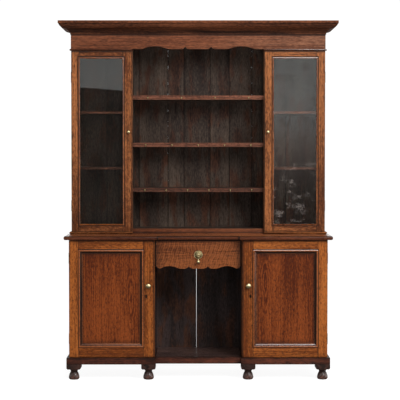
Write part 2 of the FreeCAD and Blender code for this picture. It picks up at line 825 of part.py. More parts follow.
def make_drawer():
    """A scalloped front with a box behind it that runs on two fixed runners."""
    high = slab_bottom - S.drawer_top_clearance
    low = high - S.drawer_height
    half = kennel_half - S.drawer_side_clearance
    front_back = kennel_front + S.drawer_front_thickness
    front = scalloped_board("drawer_front_board", DRAWER_SCALLOP_SHARES, half, half, (low, high),
                            S.drawer_scallop_depth, S.drawer_end_lift, S.drawer_front_thickness)
    node("drawer_front", place(front, (0, front_back, 0)))
    thick = S.drawer_side_thickness
    runner_top = low + S.drawer_end_lift
    side_low = runner_top + S.drawer_rest_clearance
    side_top = side_low + S.drawer_side_height
    end = carcass_back - S.drawer_back_clearance
    bottom_low = side_low + S.drawer_bottom_lift
    bottom_top = bottom_low + S.drawer_bottom_thickness
    inside = half - thick
    bottom = board("drawer_bottom_board", grown((-inside, inside), S.drawer_bottom_groove),
                   (front_back, end), (bottom_low, bottom_top))
    pieces = [board("drawer_back", (-inside, inside), (end - thick, end),
                    (bottom_top, side_top - S.drawer_back_drop))]
    runners = []
    for name, side in SIDES.items():
        plank = board(f"drawer_{name}_plank", mirrored(side, inside, half), (front_back, end),
                      (side_low, side_top))
        pieces.append(cut(f"drawer_{name}_side", plank, [bottom]))
        runners.append(board(f"{name}_runner", mirrored(side, kennel_half - S.runner_width, kennel_half),
                             (front_back + S.runner_setback, carcass_back),
                             (runner_top - S.runner_height, runner_top)))
    node("drawer_box", *pieces)
    node("drawer_bottom", bottom)
    node("drawer_runners", *runners)
    make_pull(low + S.rose_height)


def make_pull(rose_z):
    """A domed rose with two lugs and a pin, and the pear drop that swings on the pin."""
    rim = S.rose_diameter / 2
    boss = S.rose_boss_diameter / 2
    rose = turned("pull_rose",
                  [(0, 0), (rim, 0), (rim, S.rose_rim), (boss, S.rose_dome),
                   (boss, S.rose_boss_height * BOSS_SHOULDER_SHARE),
                   (boss * BOSS_FLAT_SHARE, S.rose_boss_height), (0, S.rose_boss_height)],
                  [0, 0, S.rose_dome * ROSE_BOW_SHARE, 0, S.rose_boss_height * BOSS_BOW_SHARE, 0, 0])
    rose.Placement = Placement(Vector(), TO_FRONT)
    place(rose, (0, kennel_front, rose_z))
    pivot_y = kennel_front - S.pull_pivot_projection
    pivot_z = rose_z - S.pull_pivot_drop
    eye_half = S.pull_eye_length / 2
    lug_half = S.pull_lug_height / 2
    lug_near = eye_half + S.pull_lug_clearance
    lug_far = lug_near + S.pull_lug_thickness
    pin = cylinder("pull_pin", S.pull_pin_diameter, lug_far * 2, (-lug_far, pivot_y, pivot_z), TO_RIGHT)
    fixed = [rose, pin]
    for name, side in SIDES.items():
        fixed.append(board(f"pull_{name}_lug", mirrored(side, lug_near, lug_far),
                           (pivot_y - lug_half, kennel_front - S.rose_rim),
                           (pivot_z - lug_half, pivot_z + lug_half)))
    node("drawer_pull_rose", fuse("pull_mount", fixed))
    points, bows = shared_outline(PEAR_SHARES, S.pull_drop_diameter / 2, S.pull_drop_length)
    neck_top = points[-1][1]
    pear = turned("pull_pear", [(0, 0)] + points + [(0, neck_top)], [0] + bows + [0])
    place(pear, (0, pivot_y, pivot_z - S.pull_drop_length))
    eye = cylinder("pull_eye", S.pull_eye_diameter, S.pull_eye_length,
                   (-eye_half, pivot_y, pivot_z), TO_RIGHT)
    bore = cylinder("pull_bore", S.pull_pin_diameter + S.pull_pin_clearance * 2,
                    S.pull_eye_length + S.cut_overrun * 2, (-eye_half - S.cut_overrun, pivot_y, pivot_z),
                    TO_RIGHT)
    node("drawer_pull_drop", cut("pull_drop", fuse("pull_drop_solid", [pear, eye]), [bore]))


# Rack

def shelf_spans(height, thickness, setback):
    """The depth and height of a shelf in the rack."""
    low = slab_top + height
    return (rack_carcass_front + setback, carcass_back), (low, low + thickness)


def make_cup_hook():
    """A bent wire hook with its flange; the shank runs back along Y from the shelf's edge."""
    body = document.addObject("PartDesign::Body", "hook_wire")
    neck = -S.hook_neck_length
    drop = -S.hook_bend_radius
    hang = neck + drop
    cup = S.hook_cup_radius
    path = outline(body, "hook_path", "YZ_Plane",
                   [(S.hook_shank_length, 0), (neck, 0), (hang, drop), (hang - cup, drop - cup),
                    (hang - cup * 2, drop)],
                   [0, S.hook_bend_radius * QUARTER_BOW_SHARE, -cup * QUARTER_BOW_SHARE,
                    -cup * QUARTER_BOW_SHARE], closed=False)
    section = body.newObject("Sketcher::SketchObject", "hook_section")
    support = next(item for item in body.Origin.OriginFeatures if item.Role == "XZ_Plane")
    section.AttachmentSupport = [(support, "")]
    section.MapMode = "FlatFace"
    bind(section, "AttachmentOffset.Base.z", -S.hook_shank_length)
    section.addGeometry(Part.Circle(Vector(), Vector(0, 0, 1), S.hook_wire_diameter.number / 2))
    section.addConstraint([Sketcher.Constraint("Coincident", 0, 3, -1, 1),
                           Sketcher.Constraint("Radius", 0, S.hook_wire_diameter.number / 2)])
    bind(section, "Constraints[1]", S.hook_wire_diameter / 2)
    pipe = body.newObject("PartDesign::AdditivePipe", "hook_pipe")
    pipe.Profile = section
    pipe.Spine = path
    flange = cylinder("hook_flange", S.hook_flange_diameter, S.hook_flange_thickness, (0, 0, 0), TO_FRONT)
    return fuse("cup_hook", [body, flange])


def make_rack_shelves():
    """Three shelves housed in the partitions, with cup hooks along their front edges."""
    hook = make_cup_hook()
    hooks = []
    planks = []
    for level, height in (("lower", S.lower_shelf_height), ("middle", S.middle_shelf_height),
                          ("upper", S.upper_shelf_height)):
        depth, rise = shelf_spans(height, S.rack_shelf_thickness, S.rack_shelf_setback)
        plank = board(f"{level}_plank", grown((-opening_half, opening_half), S.housing_depth), depth, rise)
        planks.append(plank)
        holes = []
        for index, share in enumerate(HOOK_SHARES[level]):
            x = opening_half * share
            z = rise[0] + S.rack_shelf_thickness / 2
            hooks.append(copy_of(hook, (x, depth[0], z)))
            holes.append(cylinder(f"{level}_hook_hole_{index}",
                                  S.hook_wire_diameter + S.hook_hole_clearance * 2,
                                  S.hook_shank_length + S.hook_hole_clearance, (x, depth[0], z), TO_BACK))
        node(f"{level}_rack_shelf", cut(f"{level}_shelf", plank, holes))
    node("cup_hooks", *hooks)
    return planks


def make_cupboard_shelves():
    """Two shelves behind each glazed door, housed in the side and the partition."""
    shelves = {}
    for name, side in SIDES.items():
        x = mirrored(side, partition_outer - S.housing_depth, side_inner + S.housing_depth)
        shelves[name] = [
            board(f"{name}_{level}_cupboard_shelf", x,
                  *shelf_spans(height, S.cupboard_shelf_thickness, S.cupboard_shelf_setback))
            for level, height in (("lower", S.lower_cupboard_shelf_height),
                                  ("upper", S.upper_cupboard_shelf_height))
        ]
        node(f"{name}_cupboard_shelves", *shelves[name])
    return shelves


def make_rack_carcass(hinge_rooms):
    """Sides and partitions that take the shelves, with the top, the bottom and its front rail."""
    depth = (rack_carcass_front, carcass_back)
    planks = make_rack_shelves()
    shelves = make_cupboard_shelves()
    floor_z = (rack_floor - S.rack_board_thickness, rack_floor)
    floors = [board("rack_floor", (-opening_half, opening_half),
                    (rack_carcass_front + S.rack_rail_thickness, carcass_back), floor_z)]
    for name, side in SIDES.items():
        upright = board(f"{name}_rack_upright", mirrored(side, side_inner, half_body), depth,
                        (slab_top, rack_top))
        node(f"{name}_rack_side", cut(f"{name}_rack_housed", upright, shelves[name] + hinge_rooms[name]))
        divider = board(f"{name}_divider", mirrored(side, opening_half, partition_outer), depth,
                        (slab_top, rack_top - S.rack_board_thickness))
        catch_x, catch_y, catch_z = catch_place()
        slot = board(f"{name}_catch_slot",
                     mirrored(side, catch_x - S.catch_tongue_length - S.catch_slot_clearance,
                              partition_outer + S.cut_overrun),
                     grown(catch_y, S.catch_slot_clearance),
                     grown((catch_z - S.catch_tongue_length, catch_z + S.catch_tongue_width / 2),
                           S.catch_slot_clearance))
        node(f"{name}_rack_partition", cut(f"{name}_partition", divider, planks + shelves[name] + [slot]))
        floors.append(board(f"{name}_cupboard_floor", mirrored(side, partition_outer, side_inner),
                            depth, floor_z))
    node("rack_bottom_boards", *floors)
    node("rack_top_board", board("rack_top", (-side_inner, side_inner), depth,
                                 (rack_top - S.rack_board_thickness, rack_top)))
    node("rack_bottom_rail", board("rack_rail", (-opening_half, opening_half),
                                   (rack_carcass_front, rack_carcass_front + S.rack_rail_thickness),
                                   (slab_top, rack_floor)))


def make_rack_back():
    """Upright back boards edge to edge; two of the joints have opened towards the top."""
    joints = [(-half_body, 0)]
    for share in RACK_BOARD_SHARES:
        joints.append((half_body * share, S.back_board_gap / 2 if share in OPEN_JOINT_SHARES else 0))
    joints.append((half_body, 0))
    boards = []
    for index, ((left, left_gap), (right, right_gap)) in enumerate(zip(joints, joints[1:])):
        plank = padded(f"rack_back_{index}", "XZ_Plane",
                       [(left, slab_top), (right, slab_top), (right - right_gap, rack_top),
                        (left + left_gap, rack_top)],
                       None, S.back_thickness)
        boards.append(place(plank, (0, back, 0)))
    node("rack_back_boards", *boards)


def make_frieze():
    """The frieze board, scalloped across the open rack, and a half-round bead above each door."""
    thick = S.door_thickness + S.door_gap
    frieze = scalloped_board("frieze_board", FRIEZE_SCALLOP_SHARES, opening_half, half_body,
                             (frieze_bottom, rack_top), S.frieze_scallop_depth, 0, thick)
    node("frieze", place(frieze, (0, rack_carcass_front, 0)))
    height = S.frieze_bead_height
    swell = height * BEAD_BOW_SHARE
    depth = thick + S.frieze_bead_projection - swell
    length = half_body + S.frieze_bead_projection - opening_half
    bead = padded("frieze_bead", "YZ_Plane", [(0, 0), (depth, 0), (depth, height), (0, height)],
                  [0, 0, 0, swell], length)
    starts = (-half_body - S.frieze_bead_projection, opening_half)
    node("frieze_beads", *(copy_of(bead, (x, rack_carcass_front - depth, upper_zone_top)) for x in starts))


def edge_mouldings(name, shares, width, height, level):
    """The left and right returns of a moulding that runs round the front and sides of the rack."""
    front = rack_front - width
    outer = half_body + width
    length = back - front
    right = mitred_strip(f"{name}_right", shares, width, height, length, end_mitre=False)
    right.Placement = Placement(Vector(), Rotation(Vector(0, 0, 1), QUARTER_TURN))
    left = mitred_strip(f"{name}_left", shares, width, height, length, start_mitre=False)
    left.Placement = Placement(Vector(), Rotation(Vector(0, 0, 1), -QUARTER_TURN))
    return [place(left, (-outer, back, level)), place(right, (outer, front, level))]


def make_cornice():
    """The cornice: one front length and two returns, mitred at the corners."""
    width = S.cornice_projection
    outer = half_body + width
    front = mitred_strip("cornice_front", CORNICE_SHARES, width, S.cornice_height, outer * 2)
    place(front, (-outer, rack_front - width, frieze_top))
    returns = edge_mouldings("cornice", CORNICE_SHARES, width, S.cornice_height, frieze_top)
    node("cornice", front, *returns)


def make_rack_foot():
    """A sill with a round nosing under each glazed door, the nosing returned along the side of the rack."""
    width = S.rack_foot_projection
    outer = half_body + width
    pieces = edge_mouldings("rack_foot", RACK_FOOT_SHARES, width, S.rack_foot_height, slab_top)
    for name, side in SIDES.items():
        x = mirrored(side, opening_half, outer)
        strip = mitred_strip(f"{name}_rack_foot_strip", RACK_FOOT_SHARES, width, S.rack_foot_height,
                             outer - opening_half, start_mitre=side < 0, end_mitre=side > 0)
        place(strip, (x[0], rack_front - width, slab_top))
        sill = board(f"{name}_rack_sill", mirrored(side, opening_half, half_body),
                     (rack_front, rack_carcass_front), (slab_top, upper_zone_bottom))
        pieces.append(fuse(f"{name}_rack_foot", [strip, sill]))
    node("rack_foot_mouldings", *pieces)


def catch_place():
    """The axis of a turn catch across and up, and the depth that its tongue fills."""
    tongue = rack_front + S.door_thickness + S.catch_tongue_gap
    return (opening_half + S.upper_lock_reveal + S.catch_inset,
            (tongue, tongue + S.catch_tongue_thickness),
            upper_zone_bottom + S.catch_height)


def make_catch():
    """A knob whose spindle goes through the stile and turns a tongue behind it."""
    reach = S.door_thickness + S.catch_tongue_gap
    spindle = reach + S.catch_tongue_thickness + S.catch_spindle_end
    knob = knob_body("catch_knob", S.catch_knob_diameter, S.catch_knob_projection,
                     S.catch_spindle_diameter, spindle)
    knob.Placement = Placement(Vector(), TO_FRONT)
    half = S.catch_tongue_width / 2
    tongue = board("catch_tongue", (-half, half), (reach, reach + S.catch_tongue_thickness),
                   (-S.catch_tongue_length, half))
    return fuse("turn_catch", [knob, tongue])


def make_upper_doors(hinge_rooms):
    """Glazed doors: the pane lies in a rebate behind a mitred bead, with a turn catch."""
    x = (opening_half + S.upper_lock_reveal, half_body - S.door_hinge_reveal)
    y = (rack_front, rack_front + S.door_thickness)
    z = (upper_zone_bottom + S.door_end_reveal, upper_zone_top - S.door_end_reveal)
    rebate = S.glazing_rebate_width
    rebate_x = (x[0] + S.upper_lock_stile, x[1] - S.upper_hinge_stile)
    rebate_z = (z[0] + S.upper_bottom_rail, z[1] - S.upper_top_rail)
    lip_y = rack_front + S.glazing_rebate_depth
    pane_y = (lip_y - S.glass_thickness, lip_y)
    bead_height = S.glazing_rebate_depth - S.glass_thickness - S.glazing_bead_set_in
    strips = [
        mitred_strip(f"glazing_bead_{way}", GLAZING_BEAD_SHARES, rebate, bead_height, span[1] - span[0])
        for way, span in (("level", rebate_x), ("upright", rebate_z))
    ]
    catch = make_catch()
    catch_x, tongue_y, catch_z = catch_place()
    for name, side in SIDES.items():
        door = f"{name}_upper_door"
        waste = board(f"{door}_rebate", mirrored(side, *rebate_x),
                      (rack_front - S.cut_overrun, lip_y), rebate_z)
        hole = cylinder(f"{door}_catch_hole", S.catch_spindle_diameter + S.catch_spindle_clearance * 2,
                        S.door_thickness + S.cut_overrun * 2,
                        (catch_x * side, rack_front - S.cut_overrun, catch_z), TO_BACK)
        door_frame(door, side, x, y, z, (S.upper_lock_stile + rebate, S.upper_hinge_stile + rebate),
                   (S.upper_bottom_rail + rebate, S.upper_top_rail + rebate),
                   (lip_y, lip_y + S.upper_tenon_thickness), waste, [hole], hinge_rooms[name])
        node(f"{door}_glass", board(f"{door}_pane", mirrored(side, *grown(rebate_x, -S.glass_clearance)),
                                    pane_y, grown(rebate_z, -S.glass_clearance)))
        node(f"{door}_glazing_bead", *ring(strips, mirrored(side, *rebate_x), pane_y[0], rebate_z))
        node(f"{door}_catch", copy_of(catch, (catch_x * side, rack_front, catch_z)))


# Hinges

def hinge_places(level, side):
    """The middles of a door's two hinges, on the axis of their pins."""
    front, low, high, inset = {
        "lower": (base_front, plinth_top, slab_bottom, S.lower_hinge_inset),
        "upper": (rack_front, upper_zone_bottom, upper_zone_top, S.upper_hinge_inset),
    }[level]
    y = front + S.door_thickness + S.door_gap / 2
    return [(hinge_axis_x * side, y, z) for z in (low + inset, high - inset)]


def make_hinge_rooms(level):
    """Round recesses for the knuckles, to be cut from the doors and the sides of one level."""
    wide = S.hinge_knuckle_diameter + S.hinge_knuckle_clearance * 2
    tall = S.hinge_length + S.hinge_knuckle_clearance * 2
    return {
        name: [cylinder(f"{name}_{level}_hinge_room_{index}", wide, tall, (x, y, z - tall / 2))
               for index, (x, y, z) in enumerate(hinge_places(level, side))]
        for name, side in SIDES.items()
    }


def hinge_leaf(name, y, knuckles):
    """A leaf towards -X of the pin, flat within the span y, with its own knuckles."""
    radius = S.hinge_knuckle_diameter / 2
    near = radius + S.hinge_knuckle_clearance
    half = S.hinge_length / 2
    pieces = [board(f"{name}_plate", (-near - S.hinge_leaf_width, -near), y, (-half, half))]
    for index, span in enumerate(knuckles):
        pieces.append(board(f"{name}_tab_{index}", (-near, as_size(0)), y, span))
        pieces.append(cylinder(f"{name}_knuckle_{index}", S.hinge_knuckle_diameter, span[1] - span[0],
                               (0, 0, span[0])))
    bore = cylinder(f"{name}_bore", S.hinge_pin_diameter + S.hinge_pin_clearance * 2,
                    S.hinge_length + S.cut_overrun * 2, (0, 0, -half - S.cut_overrun))
    return cut(name, fuse(f"{name}_solid", pieces), [bore])


def make_hinges():
    """Two butt hinges to each door: the fixed leaves and pins stay on the carcass."""
    half = S.hinge_length / 2
    inner = S.hinge_length / (2 * KNUCKLE_COUNT)
    leaf_far = S.door_gap / 2
    leaf_near = S.hinge_leaf_clearance
    fixed = hinge_leaf("fixed_leaf", (leaf_near, leaf_far), [(-half, -inner), (inner, half)])
    middle = inner - S.hinge_knuckle_clearance
    moving = hinge_leaf("moving_leaf", (-leaf_far, -leaf_near), [(-middle, middle)])
    pin = cylinder("hinge_pin", S.hinge_pin_diameter, S.hinge_length, (0, 0, 0))
    carcass_pieces = []
    for level in ("lower", "upper"):
        for name, side in SIDES.items():
            turn = Rotation(Vector(0, 1, 0), 0 if side > 0 else 2 * QUARTER_TURN)
            places = hinge_places(level, side)
            carcass_pieces.extend(copy_of(fixed, at, turn) for at in places)
            carcass_pieces.extend(copy_of(pin, (x, y, z - half)) for x, y, z in places)
            node(f"{name}_{level}_door_hinge_leaves", *(copy_of(moving, at, turn) for at in places))
    node("fixed_hinges", *carcass_pieces)


def check_and_export():
    """Stop at any failed piece; otherwise write every node to its own file."""
    document.recompute()
    for item in document.Objects:
        if "Invalid" in item.State or "Error" in item.State:
            raise RuntimeError(f"{item.Label} failed: {item.State}")
    for item in nodes:
        if item.Shape.isNull() or not item.Shape.isValid() or not item.Shape.Solids:
            raise RuntimeError(f"{item.Label} has no valid solid")
    os.makedirs("parts", exist_ok=True)
    for item in nodes:
        item.Shape.exportStep(f"parts/{item.Label}.step")


lower_rooms = make_hinge_rooms("lower")
upper_rooms = make_hinge_rooms("upper")
make_feet()
make_plinth()
make_base_floor()
make_pedestals(lower_rooms)
make_base_back()
make_base_top()
make_lower_doors(lower_rooms)
make_drawer()
make_rack_carcass(upper_rooms)
make_rack_back()
make_frieze()
make_cornice()
make_rack_foot()
make_upper_doors(upper_rooms)
make_hinges()
check_and_export()
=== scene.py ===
"""Looks of an oak dresser: worn oak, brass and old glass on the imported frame, in a plain studio."""

import json
import math
from functools import partialmethod

import bmesh
import bpy
import mathutils
import numpy as np
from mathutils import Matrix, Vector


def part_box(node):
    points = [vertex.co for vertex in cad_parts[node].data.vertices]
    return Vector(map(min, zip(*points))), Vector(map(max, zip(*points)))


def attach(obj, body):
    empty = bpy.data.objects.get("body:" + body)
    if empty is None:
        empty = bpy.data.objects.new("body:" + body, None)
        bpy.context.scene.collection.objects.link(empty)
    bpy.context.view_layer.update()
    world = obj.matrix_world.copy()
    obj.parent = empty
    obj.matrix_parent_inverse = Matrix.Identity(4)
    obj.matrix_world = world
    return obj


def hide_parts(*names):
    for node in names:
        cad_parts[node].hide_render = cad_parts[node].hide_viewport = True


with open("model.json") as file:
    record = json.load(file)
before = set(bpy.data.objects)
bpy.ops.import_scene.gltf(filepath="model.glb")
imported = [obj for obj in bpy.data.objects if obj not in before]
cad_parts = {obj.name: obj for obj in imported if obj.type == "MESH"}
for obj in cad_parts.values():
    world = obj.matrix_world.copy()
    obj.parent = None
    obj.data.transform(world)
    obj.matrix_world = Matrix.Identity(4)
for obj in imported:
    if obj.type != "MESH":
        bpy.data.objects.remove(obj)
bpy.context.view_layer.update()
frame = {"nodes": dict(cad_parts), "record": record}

bl_info = {
    "name": "Oak Dresser Looks",
    "version": (1, 0, 0),
    "blender": (4, 5, 0),
    "location": "3D View > Sidebar > Dresser",
    "description": "Dresses a glazed oak dresser: timber finishes, turned brass, mouldings and a studio",
    "category": "Object",
}

SIDES = {"left": -1, "right": 1}


# Properties

def colour(name, description, default):
    """A colour property with its words and its default."""
    return bpy.props.FloatVectorProperty(name=name, description=description, default=default,
                                         subtype="COLOR", min=0, max=1)


def length(name, description, default):
    """A length property in metres."""
    return bpy.props.FloatProperty(name=name, description=description, default=default,
                                   unit="LENGTH", precision=5)


def share(name, description, default):
    """A plain factor property."""
    return bpy.props.FloatProperty(name=name, description=description, default=default, subtype="FACTOR")


def power(name, description, default):
    """A light's power in watts."""
    return bpy.props.FloatProperty(name=name, description=description, default=default, unit="POWER")


# Kinds of oak: where each is found, its light grain and its dark grain
TONES = {
    "door": ("lower door frames", (0.311, 0.090, 0.016), (0.092, 0.020, 0.003)),
    "upper": ("glazed door frames", (0.305, 0.106, 0.034), (0.062, 0.016, 0.005)),
    "panel": ("lower panels", (0.174, 0.038, 0.007), (0.053, 0.009, 0.002)),
    "drawer": ("drawer front", (0.184, 0.054, 0.015), (0.046, 0.010, 0.003)),
    "frieze": ("frieze", (0.166, 0.053, 0.022), (0.060, 0.016, 0.006)),
    "cornice": ("cornice", (0.15, 0.048, 0.02), (0.032, 0.009, 0.004)),
    "shelf": ("rack shelves' front edges", (0.175, 0.064, 0.036), (0.052, 0.018, 0.01)),
    "slab": ("slab", (0.100, 0.029, 0.012), (0.030, 0.008, 0.004)),
    # The slab's top: lighter for its rubbed wear and for a painted reflection of the light on it
    "slab_top": ("slab's rubbed top", (0.34, 0.11, 0.038), (0.12, 0.034, 0.012)),
    "moulding": ("panel mouldings", (0.240, 0.068, 0.016), (0.060, 0.013, 0.003)),
    "plinth": ("plinth", (0.098, 0.026, 0.013), (0.023, 0.007, 0.005)),
    "foot": ("feet", (0.105, 0.044, 0.032), (0.028, 0.013, 0.010)),
    "inside": ("boards inside the rack", (0.080, 0.055, 0.040), (0.019, 0.013, 0.011)),
    "kennel_floor": ("floor in the base", (0.13, 0.074, 0.06), (0.028, 0.016, 0.015)),
    "kennel": ("boards in the base", (0.055, 0.036, 0.033), (0.015, 0.011, 0.01)),
}


class DresserTimber(bpy.types.PropertyGroup):
    """Colours and surface of the oak. Each kind in TONES adds the colours of its light and dark grain."""
    # The grime colour also paints shade in hollows, gaps and under overhangs
    grime: colour("Grime", "Old wax and dirt in the corners", (0.008, 0.005, 0.004))
    edge_ease: length("Edge ease", "Radius of the worn board edges", 0.0012)
    grain_relief: length("Grain relief", "Depth of the open grain", 0.0004)
    gloss: share("Gloss", "Specular level of the flat boards", 0.09)


for kind, (where, *grains) in TONES.items():
    for grain, default in zip(("light", "dark"), grains):
        DresserTimber.__annotations__[f"{kind}_{grain}"] = colour(
            f"{kind} {grain}".replace("_", " ").capitalize(), f"{grain.capitalize()} grain of the {where}",
            default)


class DresserMetal(bpy.types.PropertyGroup):
    """Colours and surface of the metal."""
    brass: colour("Brass", "Rubbed brass", (0.74, 0.61, 0.34))
    brass_dull: colour("Dull brass", "Tarnish in the hollows of the brass", (0.17, 0.13, 0.055))
    iron: colour("Iron", "Blackened iron of the locks", (0.075, 0.070, 0.066))
    rust: colour("Rust", "Brown bloom on the iron", (0.11, 0.050, 0.024))
    brass_roughness: share("Brass roughness", "Roughness of rubbed brass", 0.34)


class DresserGlass(bpy.types.PropertyGroup):
    """Old window glass."""
    tint: colour("Tint", "Tint of the panes", (0.93, 0.95, 0.93))
    ripple: length("Ripple", "Height of the ripple in the panes", 0.00012)


class DresserStudio(bpy.types.PropertyGroup):
    """Camera and light of the studio."""
    eye_height: length("Eye height", "Height of the camera", 1.335)
    eye_distance: length("Eye distance", "Distance of the camera from the middle of the dresser", 8.208)
    eye_aside: length("Eye aside", "Place of the camera across", -0.02)
    aim_height: length("Aim height", "Height that the middle of the picture shows", 1.071)
    aim_aside: length("Aim aside", "Place across that the middle of the picture shows", 0.01)
    lens: bpy.props.FloatProperty(name="Lens", description="Focal length", default=121.5, unit="CAMERA")
    key_power: power("Key power", "Power of the soft light at the right", 405.0)
    fill_power: power("Fill power", "Power of the soft light at the left", 58.0)
    top_power: power("Top power", "Power of the soft light above", 105.0)
    sky: share("Sky", "Strength of the even light from all sides", 0.21)
    gloss_sky: share("Gloss sky", "Strength of the even light in reflections", 0.05)
    left_glow: share("Left glow", "Strength of the card at the left in reflections", 0.8)
    right_glow: share("Right glow", "Strength of the card at the right in reflections", 2.2)
    backdrop: share("Backdrop", "Brightness of the backdrop that the camera sees", 1.05)
    floor: colour("Floor", "Pale floor", (0.28, 0.28, 0.28))
    floor_glow: share("Floor glow", "Own light of the pale floor", 0.96)


# Shader maths

# How far apart the timber of neighbouring boards lies in the noises
BOARD_STEPS = (3.71, 1.37, 2.03)


class Link:
    """A node's output. Each operator adds one Math node, so that a sum reads as plain Python."""

    def __init__(self, finish, socket):
        self.finish = finish
        self.socket = socket

    def math(self, operation, other=0.0):
        return self.finish.node("ShaderNodeMath", {"operation": operation}, {0: self, 1: other})

    def __rsub__(self, other):
        return self.finish.node("ShaderNodeMath", {"operation": "SUBTRACT"}, {0: other, 1: self})

    __add__ = __radd__ = partialmethod(math, "ADD")
    __sub__ = partialmethod(math, "SUBTRACT")
    __mul__ = __rmul__ = partialmethod(math, "MULTIPLY")
    __pow__ = partialmethod(math, "POWER")
    __gt__ = partialmethod(math, "GREATER_THAN")
    __lt__ = partialmethod(math, "LESS_THAN")
    __abs__ = partialmethod(math, "ABSOLUTE")
    sine = partialmethod(math, "SINE")
    most = partialmethod(math, "MAXIMUM")
    least = partialmethod(math, "MINIMUM")

    def near(self, value, reach):
        """One at the value, fading to zero at the reach on both sides of it."""
        return self.finish.ramp(abs(self - value), reach * 0.3, reach, 1.0, 0.0)


class Finish:
    """A material or world under construction, with the shortcuts that its recipe needs."""

    def __init__(self, name, home="materials", ending="ShaderNodeOutputMaterial"):
        self.owner = getattr(bpy.data, home).new(name)
        self.owner.use_nodes = True
        self.tree = self.owner.node_tree
        self.tree.nodes.clear()
        self.output = self.tree.nodes.new(ending)

    def node(self, kind, settings=None, sockets=None, output=0):
        """A new node: its settings first, then the values or links of its sockets."""
        made = self.tree.nodes.new(kind)
        for key, value in (settings or {}).items():
            setattr(made, key, value)
        for key, value in (sockets or {}).items():
            if isinstance(value, Link):
                self.tree.links.new(value.socket, made.inputs[key])
            else:
                made.inputs[key].default_value = value
        return Link(self, made.outputs[output])

    def parts(self, vector):
        """The three values of a vector."""
        split = self.node("ShaderNodeSeparateXYZ", None, {0: vector}).socket.node
        return [Link(self, socket) for socket in split.outputs]

    def place(self):
        """The object coordinates as three values."""
        return self.parts(self.node("ShaderNodeTexCoord", output="Object"))

    def facing(self):
        """The way that the surface looks, as three values."""
        return self.parts(self.node("ShaderNodeNewGeometry", output="Normal"))

    def worn(self):
        """How hollow or grimed the place is, from the piece's own mesh; on mouldings it paints shade and
        highlights too.
        """
        return self.node("ShaderNodeAttribute", {"attribute_name": "worn"}, output="Fac")

    def board(self):
        """The place in one board's own timber, far away from that of its neighbours, and the board's number.

        The piece's own mesh carries it as grain (along, across, board).
        """
        grain = self.node("ShaderNodeAttribute", {"attribute_name": "grain"}, output="Vector")
        along, across, number = self.parts(grain)
        steps = [number * step for step in BOARD_STEPS]
        return self.vector(along + steps[0], across + steps[1], steps[2]), number

    def vector(self, x, y, z):
        return self.node("ShaderNodeCombineXYZ", None, {0: x, 1: y, 2: z})

    def noise(self, spot, detail=2.0, roughness=0.5):
        """Soft noise around 0.5 at a scaled place."""
        return self.node("ShaderNodeTexNoise", None,
                         {"Vector": spot, "Scale": 1.0, "Detail": detail, "Roughness": roughness}, "Fac")

    def streaks(self, spot, along, across, detail=2.0, roughness=0.5):
        """Noise at a place scaled less along the grain than across it, so that it comes out as streaks."""
        scaled = self.node("ShaderNodeVectorMath", {"operation": "MULTIPLY"},
                           {0: spot, 1: (along, across, across)})
        return self.noise(scaled, detail, roughness)

    def ramp(self, value, low, high, start=0.0, end=1.0):
        """A smooth step from start to end while the value goes from low to high."""
        return self.node("ShaderNodeMapRange", {"interpolation_type": "SMOOTHSTEP"},
                         {"Value": value, "From Min": low, "From Max": high, "To Min": start, "To Max": end})

    def tint(self, factor, first, second):
        """A colour between two colours."""
        colours = [part if isinstance(part, Link) else (*part, 1.0) for part in (first, second)]
        return self.node("ShaderNodeMix", {"data_type": "RGBA"},
                         {0: factor, 6: colours[0], 7: colours[1]}, 2)

    def turn(self, factor, first, second):
        """A vector between two vectors."""
        return self.node("ShaderNodeMix", {"data_type": "VECTOR"}, {0: factor, 4: first, 5: second}, 1)

    def relief(self, height, distance, strength=1.0):
        """A bump from a height between zero and one."""
        return self.node("ShaderNodeBump", None,
                         {"Strength": strength, "Distance": distance, "Height": height}, "Normal")

    def close(self, shader):
        """The material or world, with the shader at the end of its recipe."""
        self.tree.links.new(shader.socket, self.output.inputs["Surface"])
        return self.owner

    def surface(self, **sockets):
        """The material, with a Principled shader at the end of its recipe."""
        named = {key.replace("_", " "): value for key, value in sockets.items()}
        return self.close(self.node("ShaderNodeBsdfPrincipled", None, named, "BSDF"))


# Finishes

# Noises in the grain of oak: scale along it and across it, detail and roughness
GRAIN_NOISES = {
    "broad": (1.3, 9.0),
    "mottle": (45.0, 150.0, 2.0, 0.65),
    "streak": (2.5, 150.0, 2.0, 0.6),
    "fibre": (9.0, 560.0, 2.0, 0.6),
    "pore": (24.0, 1000.0, 1.0),
    "mark": (12.0, 60.0, 4.0, 0.7),
}
# Ripples across the grain, the narrow and the wide one: lean against it, sway and spacing
RIPPLES = ((0.30, 0.055, 0.0125), (0.15, 0.090, 0.0230))
KEYHOLE = (0.310, 0.499)
WARM_SMEAR = (0.110, 0.042, 0.022)
SLAB_RETURN = 0.242
# Heart of the panels' rings: across, above the floor, and how much higher it is at the right
HEART = (0.400, 0.480, 0.09)
HEART_STRETCH = 0.16
RING_SPACING = 0.0105
RING_WANDER = 0.030
RING_FADE = (0.030, 0.060)
# How far the panel lies inside its moulding's box, and the reach of the grime and painted shade beside and
# above
PANEL_INSET = 0.020
PANEL_GRIME_AND_SHADE = (0.022, 0.034)
# Reach of the grime at a frame's joints and edges, of grime and painted shade along its lining, and of
# painted shade under its top and at its meeting edge
JOINT_GRIME = 0.005
LIP_GRIME_AND_SHADE = 0.006
EDGE_GRIME = 0.010
TOP_SHADOW = 0.014
MEETING_SHADE = 0.006
# Where the grime round a handle, and the painted shade of a keyhole with grime round it, are full and end
TOUCH_REACH = (0.014, 0.060)
KEYHOLE_REACH = (0.0045, 0.0085)
# Depth of the surface that counts as shown, on sides and on the slab; where a shelf's rubbed edge ends
SIDE_SKIN = 0.0014
SLAB_SKIN = 0.0004
SHELF_RUB = (0.001, 0.006)
# Where the shelves lighten with painted light, from the rack to the right cupboard
CUPBOARD_EDGE = (0.40, 0.42)
